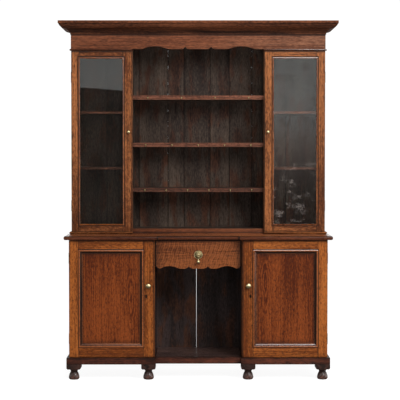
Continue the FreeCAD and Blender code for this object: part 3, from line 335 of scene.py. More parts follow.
# Lighter or darker, partly the oak's own tone and partly painted light and shade by side: inner stile,
# rails and outer stile, at the left and the right door
LOWER_SHADES = ((-0.08, -0.24), (-0.13, 0.05), (0.0, 0.07))
UPPER_SHADES = ((-0.15, 0.08), (-0.18, -0.02), (-0.12, -0.05))
# The painted sheen of the frieze's light grain at its right end
FRIEZE_SHEEN = (0.195, 0.082, 0.043)


def timber():
    return bpy.context.scene.dresser_timber


def tone(name):
    """The light and dark colours of one kind of oak."""
    return [tuple(getattr(timber(), f"{name}_{grain}")) for grain in ("light", "dark")]


def two_tones(finish, mask, first, second):
    """The light and dark colours of one kind of oak, and of another kind where the mask is one."""
    return [finish.tint(mask, *pair) for pair in zip(tone(first), tone(second))]


def begun(name):
    """A new finish and the three values of its place."""
    finish = Finish(name)
    return finish, *finish.place()


def centre(node):
    """The middle of a node's box."""
    low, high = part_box(node)
    return (low + high) / 2


def oak(finish, spot, light, dark, dirt=None, figure=0.0, contrast=1.0, shade=None, roughness=0.42,
        gloss=None, stain=0.5, coat=0.0, fleck=(75.0, 140.0), fine=1.0):
    """Old oak whose grain runs along the first axis of the place.

    The tone is a sum of noises stretched along the grain: broad bands, mottle, streaks and fibres.
    Figure adds the ripple that crosses the grain, with flecks and pores on its crests, and stain the dark
    marks of age; fleck is the scale of the small dark flecks, along and across, and fine scales the flecks,
    streaks and fibres.
    """
    group = timber()
    broad, mottle, streak, fibre, pore, mark = (
        finish.streaks(spot, *scales) for scales in GRAIN_NOISES.values())
    dot = finish.streaks(spot, *fleck)
    pore = finish.ramp(pore, 0.56, 0.70)
    level = (broad - 0.5) * (1.3 * contrast) + (mottle - 0.5) * (1.4 * contrast)
    level = level + (streak - 0.5) * (1.2 * contrast * fine) + (fibre - 0.5) * (0.5 * fine) + 0.5
    if figure:
        along, across, _ = finish.parts(spot)
        sway = finish.streaks(spot, 6.0, 9.0)
        drift = finish.streaks(spot, 16.0, 24.0)
        narrow, wide = (((along - across * lean + sway * bend) * (2 * math.pi / spacing)).sine()
                        for lean, bend, spacing in RIPPLES)
        level = level + (narrow * (drift + 0.2) + wide * 0.45) * figure
        fine = narrow
    if shade is not None:
        level = level + shade
    base = finish.tint(finish.ramp(level, 0.0, 1.0), dark, light)
    old = (pore * (0.45 * fine)).most(finish.ramp(mark, 0.52, 0.74) * stain)
    old = old.most(finish.ramp(dot, 0.54, 0.68) * (0.55 * fine))
    # The dirt mask also carries painted shade and shadow from several finishes
    for soil in (old, dirt):
        if soil is not None:
            base = finish.tint(soil, base, group.grime)
    return finish.surface(
        Base_Color=base, Roughness=fibre * 0.20 + pore * 0.12 + (roughness - 0.10),
        Specular_IOR_Level=group.gloss if gloss is None else gloss,
        Coat_Weight=coat, Coat_IOR=2.0, Coat_Roughness=0.22,
        Normal=finish.relief(fibre * 0.45 - pore * 0.55 + 0.55, group.grain_relief))


def soft_edges(value, low, high, reach):
    """Grime that gathers within reach of two edges, as a mask."""
    near = value.finish.ramp(value, low, low + reach, 1.0, 0.0)
    far = value.finish.ramp(value, high - reach, high)
    return near + far


def frame_oak(kind, level, lining, inset, grip, shades, stain):
    """A door frame: stiles upright, rails level between them, grimed at the joints, edges and handles.

    Lining is the moulding or bead in the frame. The rails' joints lie by the inset inside its outer edges.
    """
    finish, x, y, z = begun(f"oak_{level}_frame")
    door = f"right_{level}_door"
    out = abs(x)
    low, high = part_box(f"{door}_{lining}")
    middle, half = (high + low) / 2, (high - low) / 2
    inner, outer = low.x + inset, high.x - inset
    rail = (out > inner) * (out < outer)
    stile_spot = finish.vector(z, x + 0.9, y)
    rail_spot = finish.vector(x + 5.0, z, y)
    joint = out.near(inner, JOINT_GRIME).most(out.near(outer, JOINT_GRIME))
    # Grime and painted shade along the lining
    lip = (abs(out - middle.x) - half.x).most(abs(z - middle.z) - half.z).near(0.001, LIP_GRIME_AND_SHADE)
    low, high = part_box(f"{door}_frame")
    edge = soft_edges(out, low.x, high.x, EDGE_GRIME).most(soft_edges(z, low.z, high.z, EDGE_GRIME))
    worn = finish.ramp(finish.streaks(finish.vector(x, y, z), 11.0, 11.0, detail=3.0), 0.42, 0.72)
    middle = centre(f"{door}_{grip}")
    reach = ((out - middle.x) * (out - middle.x) + (z - middle.z) * (z - middle.z) * 0.35) ** 0.5
    touch = finish.ramp(reach, *TOUCH_REACH, 0.45, 0.0)
    dirt = edge * (worn * 0.5 + 0.2) + joint * (worn * 0.4 + 0.3) + lip * 0.85 + touch * 0.5
    # Painted shadow under the top edge and painted shade at the meeting edge
    dirt = dirt + z.near(high.z, TOP_SHADOW) * 0.6 + out.near(low.x, MEETING_SHADE) * 0.7
    dirt = dirt.least(0.85)
    # The keyhole: painted shade in the hole, with grime round it
    if level == "lower":
        aside, above = out - KEYHOLE[0], z - KEYHOLE[1]
        hole = (aside * aside + above * above * 0.35) ** 0.5
        dirt = dirt.most(finish.ramp(hole, *KEYHOLE_REACH, 0.98, 0.0))
    # Painted light and shade by side, partly the oak's own tone: each stile and rail lighter or darker
    regions = (out < inner, rail, out > outer)
    shade = sum(region * finish.ramp(x, -0.1, 0.1, *pair) for region, pair in zip(regions, shades))
    return oak(finish, finish.turn(rail, stile_spot, rail_spot), *tone(kind), dirt=dirt, shade=shade,
               stain=stain)


def panel_oak():
    """The lower panels: upright grain, oval rings round a heart, darker round the moulding and at the top.

    The rings are sin(2 pi r / spacing), r being the distance from the heart, drawn out along the grain.
    """
    finish, x, y, z = begun("oak_panel")
    low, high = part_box("right_lower_door_moulding")
    # Grime and painted shade along the moulding, reaching further under its top length
    edge = soft_edges(abs(x), low.x + PANEL_INSET, high.x - PANEL_INSET, PANEL_GRIME_AND_SHADE[0])
    edge = edge.most(soft_edges(z, low.z + PANEL_INSET, high.z - PANEL_INSET, PANEL_GRIME_AND_SHADE[1]))
    aside, above = abs(x) - HEART[0], (z - HEART[1] - (x > 0.0) * HEART[2]) * HEART_STRETCH
    wander = finish.noise(finish.vector(x * 9.0, y, z * 5.0), detail=3.0)
    out = (aside * aside + above * above) ** 0.5 + wander * RING_WANDER
    rings = (out * (2 * math.pi / RING_SPACING)).sine() * finish.ramp(out, *RING_FADE, 0.30, 0.0)
    # Painted shade, darker towards the top under the moulding; the left panel is lighter
    shade = finish.ramp(z, low.z, high.z, 0.10, -0.12) + finish.ramp(x, -0.1, 0.1, 0.13, 0.0) - rings
    return oak(finish, finish.vector(z + 2.0, x, y), *tone("panel"), dirt=edge * 0.45, contrast=1.15,
               shade=shade)


def level_oak(name, kind, shade_by=None, sheen=None, coat=0.0):
    """Boards whose grain runs from side to side, waxed by coat where they look up at the right.

    Sheen is a painted sheen: the colour that the light grain takes on at the right end.
    """
    finish, x, y, z = begun(name)
    light, dark = tone(kind)
    if sheen:
        light = finish.tint(finish.ramp(x, -0.1, 0.8), light, sheen)
    if coat:
        coat = finish.ramp(finish.facing()[2], 0.05, 0.25) * finish.ramp(x, 0.0, 0.3, 0.0, coat)
    # A mask made from the height paints shade
    return oak(finish, finish.vector(x, z + y * 0.7, y), light, dark, coat=coat, fleck=(16.0, 300.0),
               dirt=shade_by(z) if shade_by else None)


def slab_oak():
    """The slab: rubbed and painted lighter on top as a lit top, dark on its front edge, with painted shade in
    the returns of its middle part.
    """
    finish, x, y, z = begun("oak_slab")
    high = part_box("base_top")[1].z
    top = z > high - SLAB_SKIN
    # Painted shade in the returns and over the set-back middle part; a dark line under the top edge
    dirt = abs(x).near(SLAB_RETURN, 0.007) * 0.9 + (abs(x) < SLAB_RETURN) * 0.12
    dirt = dirt + z.near(high - 0.003, 0.004) * 0.6
    # The top's lighter colours are partly its rubbed wear and partly a painted reflection
    return oak(finish, finish.vector(x, z + y * 0.7, y), *two_tones(finish, top, "slab", "slab_top"),
               dirt=(dirt * (1.0 - top)).least(0.9), roughness=0.28, gloss=0.10,
               coat=top * (abs(x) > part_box("right_rack_side")[1].x))


def drawer_oak():
    """The drawer front: level grain crossed by a strong ripple, dark at both ends."""
    finish, x, y, z = begun("oak_drawer_front")
    low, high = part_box("drawer_front")
    # Painted shade in the gaps at both ends and over the right end, and a painted shadow under the slab
    edge = soft_edges(x, low.x + 0.003, high.x - 0.005, 0.008) * 0.95
    edge = edge.most(soft_edges(x, low.x, high.x, 0.06) * 0.35).most(finish.ramp(x, 0.20, 0.26) * 0.6)
    edge = edge.most(z.near(high.z, TOP_SHADOW) * 0.9)
    # Painted shade, darker towards the top
    return oak(finish, finish.vector(x, z, y), *tone("drawer"), dirt=edge, figure=0.25, contrast=0.8,
               shade=finish.ramp(z, low.z, high.z, 0.16, -0.10))


def inside_oak(name, kind, along, roughness=0.62, gloss=None):
    """Dusty boards inside, with smears of dirt along the grain."""
    finish, x, y, z = begun(name)
    spot = finish.vector(x, z, y) if along == "x" else finish.vector(y, x, z)
    smear = finish.streaks(spot, 2.5, 7.0, detail=3.0)
    return oak(finish, spot, *tone(kind), dirt=finish.ramp(smear, 0.42, 0.78) * 0.6, roughness=roughness,
               gloss=gloss)


def back_oak(name, kind):
    """Back boards: warm smears and dirt, grimed edges, and a tone of its own for each board."""
    finish = Finish(name)
    spot, board = finish.board()
    chance = finish.node("ShaderNodeTexWhiteNoise", {"noise_dimensions": "1D"}, {"W": board}, "Value")
    smear = finish.streaks(spot, 3.0, 9.0, detail=4.0, roughness=0.6)
    warm = finish.ramp(finish.streaks(spot, 6.0, 18.0, detail=3.0), 0.47, 0.62)
    light, dark = tone(kind)
    dirt = (finish.ramp(smear, 0.40, 0.75) * 0.7).most(finish.worn() * 0.9)
    return oak(finish, spot, finish.tint(warm, light, WARM_SMEAR), dark, dirt=dirt, shade=chance * 0.2 - 0.1,
               roughness=0.62, stain=0.7, fine=0.4)


def side_oak(name, kind, inside, front):
    """Upright sides: polished where they show outside and on the front edge, dusty inside."""
    finish, x, y, z = begun(name)
    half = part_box("right_rack_side")[1].x
    shown = (abs(x) > half - SIDE_SKIN).most(y < front + SIDE_SKIN)
    return oak(finish, finish.vector(z, y, x), *two_tones(finish, shown, inside, kind), roughness=0.5,
               contrast=0.8, stain=0.4, fleck=(24.0, 220.0))


def shelf_oak(name, node):
    """Shelves: a rubbed red front edge, dusty boards behind it, painted shade low down and painted light at
    the right.
    """
    finish, x, y, z = begun(name)
    shown = finish.ramp(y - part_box(node)[0].y, *SHELF_RUB, 1.0, 0.0)
    lowest, highest = (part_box(f"{level}_rack_shelf")[0].z for level in ("lower", "upper"))
    # Painted shade, darker on the lower shelves; painted light on the shelves of the right cupboard
    return oak(finish, finish.vector(x, z, y), *two_tones(finish, shown, "inside", "shelf"), roughness=0.5,
               dirt=finish.ramp(z, lowest, highest, 0.5, 0.0), shade=finish.ramp(x, *CUPBOARD_EDGE, 0.0, 0.5))


def plinth_oak():
    """Plinth rails: level grain on the front lengths and on the returns."""
    finish, x, y, z = begun("oak_plinth")
    aside = abs(finish.facing()[0]) > 0.6
    spot = finish.turn(aside, finish.vector(x, z, y), finish.vector(y + 4.0, z, x))
    low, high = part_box("plinth_rails")
    scuff = finish.noise(finish.vector(x * 14.0, y * 14.0, z * 30.0), detail=3.0)
    dirt = finish.ramp(scuff, 0.40, 0.75) * 0.55 + soft_edges(z, low.z, high.z, 0.012) * 0.4
    for place in FOOT_PLACES[2:]:
        dirt = dirt + abs(x).near(place, 0.085) * 0.35
    # Painted light: the plinth lighter towards the right, where the light falls
    return oak(finish, spot, *tone("plinth"), dirt=dirt.least(0.8),
               shade=finish.ramp(x, -0.3, 0.3, 0.04, 0.16))


def strip_oak(name, kind, dirt=0.0, hollow=0.0, roughness=0.32, gloss=0.2, coat=0.0, aside=0.0):
    """Mouldings: grain along each length, grime and painted shade in the hollows, wax where they look up or
    aside.
    """
    finish = Finish(name)
    spot, _ = finish.board()
    sunk = finish.worn()
    patch = finish.streaks(spot, 4.0, 30.0)
    # Grime in the hollows, which also paints their shade
    grime = (sunk * hollow + finish.ramp(patch, 0.4, 0.7) * dirt).least(0.96)
    # Rubbed edges lightened, partly wear and partly a painted highlight
    rubbed = finish.ramp(sunk, -0.6, -0.1, 0.35, 0.0) * patch
    across, _, up = finish.facing()
    wax = (finish.ramp(up, 0.10, 0.35) * coat).most(finish.ramp(abs(across), 0.10, 0.35) * aside)
    wax = wax * finish.ramp(sunk, 0.35, 0.75, 1.0, 0.0)
    return oak(finish, spot, *tone(kind), dirt=grime, shade=rubbed * 3.0, contrast=1.4, coat=wax,
               roughness=roughness, gloss=gloss)


def brass(name, hollow=0.8, tarnish=0.0):
    """Rubbed brass: bright on the crowns, brown in the hollows, with fine scratches."""
    finish, x, y, z = begun(name)
    group = bpy.context.scene.dresser_metal
    cloud = finish.streaks(finish.vector(x, y, z), 160.0, 160.0, detail=3.0)
    hair = finish.noise(finish.vector(x * 900.0, y * 300.0, z * 900.0), detail=1.0)
    dull = (finish.worn() * hollow + finish.ramp(cloud, 0.42, 0.70) * 0.55 + tarnish).least(1.0)
    return finish.surface(
        Base_Color=finish.tint(dull, group.brass, group.brass_dull), Metallic=1.0,
        Roughness=dull * 0.28 + hair * 0.10 + (group.brass_roughness - 0.05),
        Normal=finish.relief(hair, 0.00015, 0.35))


def iron():
    """Blackened iron with a brown bloom."""
    finish, x, y, z = begun("iron")
    group = bpy.context.scene.dresser_metal
    spot = finish.vector(x, y, z)
    rust = finish.ramp(finish.streaks(spot, 90.0, 90.0, detail=4.0, roughness=0.6), 0.50, 0.72)
    pit = finish.streaks(spot, 700.0, 700.0)
    return finish.surface(
        Base_Color=finish.tint(rust, group.iron, group.rust), Metallic=1.0 - rust * 0.75,
        Roughness=rust * 0.3 + pit * 0.15 + 0.38, Normal=finish.relief(pit, 0.0003, 0.5))


def old_glass():
    """Drawn window glass: a slow ripple, mostly along the height."""
    finish, x, y, z = begun("old_glass")
    group = bpy.context.scene.dresser_glass
    wave = finish.noise(finish.vector(x * 9.0, y * 9.0, z * 3.0), detail=1.0)
    return finish.surface(
        Base_Color=(*group.tint, 1.0), Roughness=0.0, IOR=1.5, Transmission_Weight=1.0,
        Normal=finish.relief(wave, group.ripple, 0.6))


# Surfaces

X_AXIS = np.array((1.0, 0.0, 0.0))
Y_AXIS = np.array((0.0, 1.0, 0.0))
Z_AXIS = np.array((0.0, 0.0, 1.0))

# Profiles as shares of their width and height, with the bow of the edge that leaves each point
# (a share of the height) and how much grime lies there, which also paints shade in hollows and under
# overhangs; a share below zero marks an edge rubbed lighter, partly a painted highlight.
# The cornice: a painted highlight on its rubbed top edge, painted shade in the quirk under the fillet and on
# its lower part
CORNICE_SHARES = (
    (1, 1, 0, 0.3), (0, 1, 0, -0.5), (0, 0.79, 0, 0), (0.060, 0.79, 0, 1), (0.060, 0.735, 0.063, 0.35),
    (0.470, 0.43, -0.063, 0.25), (0.900, 0.14, 0, 0.8), (0.950, 0.14, 0, 0.5), (0.950, 0, 0, 0.6),
    (1, 0, 0, 1),
)
# The panel moulding: grime and painted shade in its hollow, its ridge rubbed lighter with a painted highlight
PANEL_MOULDING_SHARES = (
    (0, 0.9, 0, 0.2), (0, 0, 0, 1), (1, 0, 0, 1), (1, 0.20, 0, 0.7), (0.92, 0.22, 0, 0.5),
    (0.80, 0.28, -0.05, 1), (0.50, 0.55, 0, 1), (0.42, 0.55, 0.19, 1), (0.14, 1, 0, -0.6), (0.12, 1, 0, -0.6),
)
# The glazing bead: grime and painted shade at its outer edge against the frame
GLAZING_BEAD_SHARES = (
    (0, 0.80, 0, 1), (0, 0, 0, 1), (1, 0, 0, 0.9), (1, 0.22, 0.10, 0.2), (0.66, 1, 0, 0),
    (0.12, 0.83, 0, 0.3),
)
# The rack's nosing: rubbed lighter with a painted highlight on top, painted shade under it
RACK_FOOT_SHARES = (
    (1, 1, 0, 0.4), (0.15, 1, 0.138, -0.6), (0.15, 0.46, 0, 0.5), (0.35, 0.46, 0, 0.8), (0.35, 0.40, 0, 0),
    (0.35, 0, 0, 0.3), (1, 0, 0, 1),
)
# The turned foot: darkest at its neck, a painted shadow under the block
FOOT_SHARES = (
    (0.80, 0, 0.02, 0.6), (1, 0.175, 0.04, 0), (0.625, 0.762, -0.024, 1), (0.97, 1, 0, 1),
)
FOOT_BLOCK_SHARES = (
    (0.082, 0, 0, 1), (0.918, 0, 0.03, 1), (1, 0.233, 0, 0.8), (1, 1, 0, 1), (0, 1, 0, 1),
    (0, 0.233, 0.03, 0.8),
)
KNOB_SHARES = (
    (0.34, 0, 0, 0.9), (0.34, 0.09, 0, 0.9), (0.20, 0.17, -0.02, 1), (0.20, 0.36, 0.046, 0.5),
    (0.50, 0.64, 0.06, 0.05), (0.30, 0.93, 0.018, 0), (0.06, 1, 0, 0),
)
PEAR_SHARES = (
    (0.10, 0, 0.006, 0.8), (0.35, 0.03, 0.045, 0.7), (1.00, 0.20, 0.027, 0.4), (0.80, 0.42, -0.032, 0.2),
    (0.30, 0.70, 0, 0.8), (0.44, 0.73, 0.012, 0.3), (0.44, 0.79, 0, 0.8), (0.30, 0.82, 0, 0.9),
    (0.30, 0.95, 0, 0.9),
)


def bowed(shares, width, height, steps=6, closed=True):
    """A profile through the points, with its grime.

    Each edge is start + t (end - start) + 4 bow t (1 - t) n, n being its right-hand normal.
    """
    table = np.array(shares, float)
    start = table[:, :2] * (width, height)
    end = np.roll(start, -1, axis=0)
    bow = table[:, 2] * height
    grime = table[:, 3]
    if not closed:
        start, end, bow = start[:-1], end[:-1], bow[:-1]
    way = end - start
    span = np.linalg.norm(way, axis=1, keepdims=True)
    right = np.stack((way[:, 1], -way[:, 0]), axis=1) / np.maximum(span, 1e-9)
    count = np.where(np.abs(bow) > 0, steps, 1)
    edge = np.repeat(np.arange(len(start)), count)
    step = np.concatenate([np.arange(number) / number for number in count])[:, None]
    curve = start[edge] + step * way[edge] + 4 * bow[edge, None] * step * (1 - step) * right[edge]
    worn = grime[edge] + step[:, 0] * (np.roll(grime, -1)[edge] - grime[edge])
    if not closed:
        curve = np.vstack((curve, end[-1]))
        worn = np.append(worn, grime[-1])
    return curve, worn


def capped(points, grain, worn, endless=False):
    """A closed surface from a grid (rows, columns) of looped sections: side faces and two end caps.

    An endless one has no caps, because its last section joins its first.
    """
    rows, columns = points.shape[:2]
    first = np.arange(rows * columns).reshape(rows, columns)
    after = np.roll(first, -1, axis=0)
    sides = np.stack((first, np.roll(first, -1, axis=1), np.roll(after, -1, axis=1), after), axis=-1)
    faces = (sides if endless else sides[:-1]).reshape(-1, 4).tolist()
    if not endless:
        faces += [first[0, ::-1].tolist(), first[-1].tolist()]
    return points.reshape(-1, 3), faces, grain.reshape(-1, 3), worn.reshape(-1)


def strip(profile, worn, origin, along, across, up, run, mitres=(1, 1), board=0):
    """A moulding: the profile carried along a straight run, each end cut back by the profile's own reach."""
    reach, rise = profile[:, 0], profile[:, 1]
    ends = np.stack((reach * mitres[0], run - reach * mitres[1]))
    points = origin + ends[..., None] * along + reach[:, None] * across + rise[:, None] * up
    girth = np.cumsum(np.linalg.norm(np.diff(profile, axis=0, prepend=profile[:1]), axis=1))
    grain = np.stack((ends, np.broadcast_to(girth, ends.shape), np.full(ends.shape, float(board))), axis=-1)
    return capped(points, grain, np.broadcast_to(worn, ends.shape))


def ring(profile, worn, x, y, z, board, soiled_and_shaded):
    """Four mitred strips inside an upright opening, their long edges on its sides.

    The last argument scales the grime of the bottom, right, top and left lengths, painting shade by side.
    """
    corners = ((x[0], z[0]), (x[1], z[0]), (x[1], z[1]), (x[0], z[1]))
    ways = (X_AXIS, Z_AXIS, -X_AXIS, -Z_AXIS)
    runs = (x[1] - x[0], z[1] - z[0]) * 2
    inward = ways[1:] + ways[:1]
    lengths = enumerate(zip(corners, ways, runs, inward, soiled_and_shaded), board)
    return [strip(profile, np.where(worn > 0, worn * dirt, worn), np.array((corner[0], y, corner[1])), way,
                  turn, -Y_AXIS, run, board=number)
            for number, (corner, way, run, turn, dirt) in lengths]


def lathe(profile, worn, at, axis, side, segments=48, lobes=0, lobe_depth=None, endless=False):
    """A turning: the profile's radius carried round an axis, radius (cos u, sin u) at the profile's height.

    Lobes draw the radius in by lobe_depth (1 - cos(lobes u)) / 2, a share given for each profile point. An
    endless profile is a loop.
    """
    turn = np.arange(segments) * (2 * math.pi / segments)
    other = np.cross(axis, side)
    round_about = np.cos(turn)[:, None] * side + np.sin(turn)[:, None] * other
    draw = np.zeros(len(profile)) if lobe_depth is None else lobe_depth
    radius = profile[:, :1] * (1 - draw[:, None] * (1 - np.cos(lobes * turn)) / 2)
    points = at + radius[..., None] * round_about + (profile[:, 1, None] * axis)[:, None, :]
    level = np.broadcast_to(profile[:, 1, None], points.shape[:2])
    grain = np.stack((level, np.broadcast_to(turn, level.shape) * profile[:, :1], 0 * level), axis=-1)
    return capped(points, grain, np.broadcast_to(worn[:, None], level.shape), endless)


def tube(path, radius, side, segments=12):
    """A round wire: a circle carried square to a flat path, side being the path's own normal."""
    way = np.gradient(path, axis=0)
    way /= np.linalg.norm(way, axis=1, keepdims=True)
    other = np.cross(way, side)
    turn = np.arange(segments) * (2 * math.pi / segments)
    circle = radius * np.cos(turn)[:, None] * side + radius * np.sin(turn)[:, None] * other[:, None, :]
    points = path[:, None, :] + circle
    return capped(points, 0 * points, np.zeros(points.shape[:2]))


def rounded_loop(half_x, half_y, radius, rim=0.0, steps=4):
    """A rectangle's outline with round corners: corner centre + radius (cos u, sin u).

    A rim adds a point on both sides of each corner, that far from where its round starts.
    """
    turn = (np.arange(4)[:, None] + np.arange(steps + 1) / steps) * (math.pi / 2)
    corner = np.array(((1, 1), (-1, 1), (-1, -1), (1, -1))) * (half_x - radius, half_y - radius)
    loop = corner[:, None, :] + radius * np.stack((np.cos(turn), np.sin(turn)), axis=-1)
    if rim:
        ways = np.stack((-np.sin(turn), np.cos(turn)), axis=-1) * rim
        loop = np.concatenate((loop[:, :1] - ways[:, :1], loop, loop[:, -1:] + ways[:, -1:]), axis=1)
    return loop.reshape(-1, 2)


def bar(low, high, ease, worn=0.0, board=0, rows=2, steps=3, rim=0.0):
    """A block with all its edges eased: a rounded rectangle, drawn in by a quarter circle at both ends.

    With a rim, grime lies on the upright edges and fades out over it.
    """
    low, high = np.array(low, float), np.array(high, float)
    half, middle = (high - low) / 2, (high + low) / 2
    turn = np.arange(steps + 1) / steps * (math.pi / 2)
    drawn = ease * (1 - np.sin(turn))
    rise = ease * (1 - np.cos(turn))
    between = np.linspace(low[2] + ease, high[2] - ease, rows)[1:-1]
    inset = np.concatenate((drawn, 0 * between, drawn[::-1]))
    level = np.concatenate((low[2] + rise, between, high[2] - rise[::-1]))
    loop = rounded_loop(half[0], half[1], ease, rim)
    soiled_and_shaded = np.full(len(loop), worn)
    if rim:
        soiled_and_shaded.reshape(4, -1)[:, 1:-1] = 1.0
    flat = middle[:2] + loop - np.sign(loop) * inset[:, None, None]
    x, y = flat[..., 0], flat[..., 1]
    z = np.broadcast_to(level[:, None], x.shape)
    grain = np.stack((z, x + y, np.full(x.shape, float(board))), axis=-1)
    return capped(np.stack((x, y, z), axis=-1), grain, np.broadcast_to(soiled_and_shaded, x.shape))


def plank(left, right, low, high, board):
    """An upright back board. Each joint gives its place, its half gap at the foot and its growth to the top.

    A joint that is tight at the foot opens here and there only, where two sines of the height run high.
    """
    rows = OPEN_JOINT_ROWS if left[2] or right[2] else 2
    points, faces, grain, worn = bar((left[0], low.y, low.z), (right[0], high.y, high.z), timber().edge_ease,
                                     board=board, rows=rows, rim=BOARD_RIM)
    height = points[:, 2]
    waves = [size * np.sin(height * pitch + start) for size, pitch, start in BREAK_WAVES]
    broken = np.clip(sum(waves) - BREAK_LEVEL, 0, 1)
    draw = [joint[1] + joint[2] * (height - low.z) / (high.z - low.z) * (1 if joint[1] else broken)
            for joint in (left, right)]
    points[:, 0] += np.where(points[:, 0] < (left[0] + right[0]) / 2, draw[0], -draw[1])
    return points, faces, grain, worn


NODE_BODY = {node: body for body, nodes in frame["record"]["behaviour"]["bodies"].items() for node in nodes}
SHARP_EDGE = math.radians(35)


def piece(name, parts, nodes, material):
    """One object from several closed surfaces. It rides with the nodes that it stands for."""
    points, blocks, grain, worn = zip(*parts)
    first = np.cumsum([0, *map(len, points)]).tolist()
    faces = [[corner + start for corner in face] for start, block in zip(first, blocks) for face in block]
    mesh = bpy.data.meshes.new(name)
    mesh.from_pydata(np.concatenate(points).tolist(), [], faces)
    mesh.attributes.new("grain", "FLOAT_VECTOR", "POINT").data.foreach_set(
        "vector", np.concatenate(grain).astype(np.float32).ravel())
    mesh.attributes.new("worn", "FLOAT", "POINT").data.foreach_set(
        "value", np.concatenate(worn).astype(np.float32).ravel())
    shell = bmesh.new()
    shell.from_mesh(mesh)
    bmesh.ops.recalc_face_normals(shell, faces=shell.faces)
    shell.to_mesh(mesh)
    shell.free()
    mesh.polygons.foreach_set("use_smooth", np.ones(len(mesh.polygons), bool))
    mesh.set_sharp_from_angle(angle=SHARP_EDGE)
    mesh.materials.append(material)
    made = bpy.data.objects.new(name, mesh)
    bpy.context.scene.collection.objects.link(made)
    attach(made, NODE_BODY[nodes[0]])
    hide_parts(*nodes)


# Pieces

FOOT_PLACES = (-0.7415, -0.297, 0.297, 0.7415)
FOOT_RADIUS = 0.032
FOOT_BLOCK = (0.063, 0.093)
FOOT_BLOCK_HALF = 0.0425
# Grime of the panel mouldings' bottom, right, top and left lengths: painted shade on those away from the
# light
PANEL_LENGTH_SHADES = {"left": (0.45, 1, 1, 0.9), "right": (0.30, 1, 1, 0.35)}
PANEL_WAX = {"left": 0.6, "right": 1.0}
BEAD_WAX = {"left": 0.1, "right": 1.0}
MOULDING_WIDTH = 0.024
BEAD_WIDTH = 0.009
POST_PLACE = 0.290
POST_EASE = 0.0025
SMALL_EASE = 0.0006
BOARD_RIM = 0.003
OPEN_JOINT_ROWS = 240
# Sines that say where a joint is open: size, pitch and start; and the level above which it is
BREAK_WAVES = ((1.0, 71, 0), (0.8, 187, 1))
BREAK_LEVEL = 0.4
# The painted shade line on the rack's front rail, above its foot
RAIL_FOOT_LINE = 0.010
EDGE_WELD = 0.00001
EASED_ANGLE = math.radians(40)
HOOK_SHARES = {
    "lower": (-0.816, -0.49, -0.163, 0.163, 0.49, 0.816),
    "middle": (-0.804, -0.402, 0, 0.402, 0.804),
    "upper": (-0.769, -0.256, 0.256, 0.769),
}
# Joints of the back boards across, with the half gap at the foot and how much more it opens at the top
RACK_JOINTS = (
    (-0.770, 0, 0), (-0.5698, 0, 0), (-0.36729, 0, 0), (-0.18788, 0, 0.0005), (-0.08778, 0, 0),
    (0.07469, 0, 0), (0.19404, 0, 0), (0.33495, 0, 0.0005), (0.5467, 0, 0), (0.770, 0, 0),
)
BASE_JOINTS = (
    (-0.770, 0, 0), (-0.6006, 0, 0), (-0.4312, 0, 0), (-0.2695, 0, 0), (-0.011, 0.0005, 0.0006),
    (0.2695, 0, 0), (0.4312, 0, 0), (0.6006, 0, 0), (0.770, 0, 0),
)
# Cup hooks: straight reach, radius of the bend and of the cup, the wire, the root in the shelf and the flange
HOOK_REACH = 0.005
HOOK_BEND = 0.004
HOOK_CUP = 0.007
HOOK_WIRE = 0.0015
HOOK_ROOT = 0.006
HOOK_FLANGE = ((0.0015, 0.0), (0.0045, 0.0), (0.0045, 0.0009), (0.0036, 0.0015), (0.0015, 0.0015))
# Knobs of the lower doors: how far they stand out, then the thickness and length of the shank
KNOB_RISE = 0.025
KNOB_SHANK = (0.008, 0.014)
# Turn catches: size of the knob, its play before the stile and its spindle; then the tongue's half width, its
# near and far face behind the stile and its reach below the spindle
CATCH_KNOB = 0.018
CATCH_PLAY = 0.00015
CATCH_SPINDLE = 0.006
CATCH_TONGUE = (0.0035, 0.030, 0.033, 0.017)
# The pull's rose: radius, rise, grime and depth of the lobes
ROSE_TURNING = (
    (0.026, 0.0, 0.9, 0.05), (0.026, 0.0012, 0.4, 0.05), (0.0250, 0.0021, 0.1, 0.05),
    (0.0225, 0.0023, 0.3, 0.03), (0.0212, 0.0016, 0.9, 0), (0.0190, 0.0030, 1, 0), (0.0150, 0.0045, 1, 0),
    (0.0110, 0.0052, 0.9, 0), (0.0078, 0.0053, 0.8, 0), (0.0075, 0.0063, 0.3, 0), (0.0060, 0.0079, 0, 0),
    (0.0035, 0.0088, 0, 0), (0.0008, 0.0090, 0, 0),
)
ROSE_LOBES = 16
# The pin's place before the drawer and below the rose's middle; then the lugs' near and far face, half
# height, root and ease
PULL_PIVOT = (0, 0.020, 0.009)
PULL_LUG = (0.0043, 0.0073, 0.0045, 0.0015, 0.0009)
PIN_TURNING = ((0.0010, -0.0073), (0.0015, -0.0070), (0.0015, 0.0070), (0.0010, 0.0073))
EYE_SECTION = (
    (0.0016, -0.0036), (0.0036, -0.0040), (0.0045, -0.0030), (0.0045, 0.0030), (0.0036, 0.0040),
    (0.0016, 0.0036), (0.00156, 0.0),
)
PEAR_SIZE = (0.010, 0.043)


def dress(material, names, ease=True):
    """The finish of frame nodes, with the worn edges of their boards."""
    for name in names:
        item = frame["nodes"][name]
        item.data.materials.clear()
        item.data.materials.append(material)
        if not ease:
            continue
        weld = item.modifiers.new("Joined faces", "WELD")
        weld.merge_threshold = EDGE_WELD
        eased = item.modifiers.new("Eased edges", "BEVEL")
        eased.width = timber().edge_ease
        eased.segments = 2
        eased.limit_method = "ANGLE"
        eased.angle_limit = EASED_ANGLE


def both(*names):
    """The left and right nodes of a kind."""
    return [f"{side}_{name}" for side in SIDES for name in names]


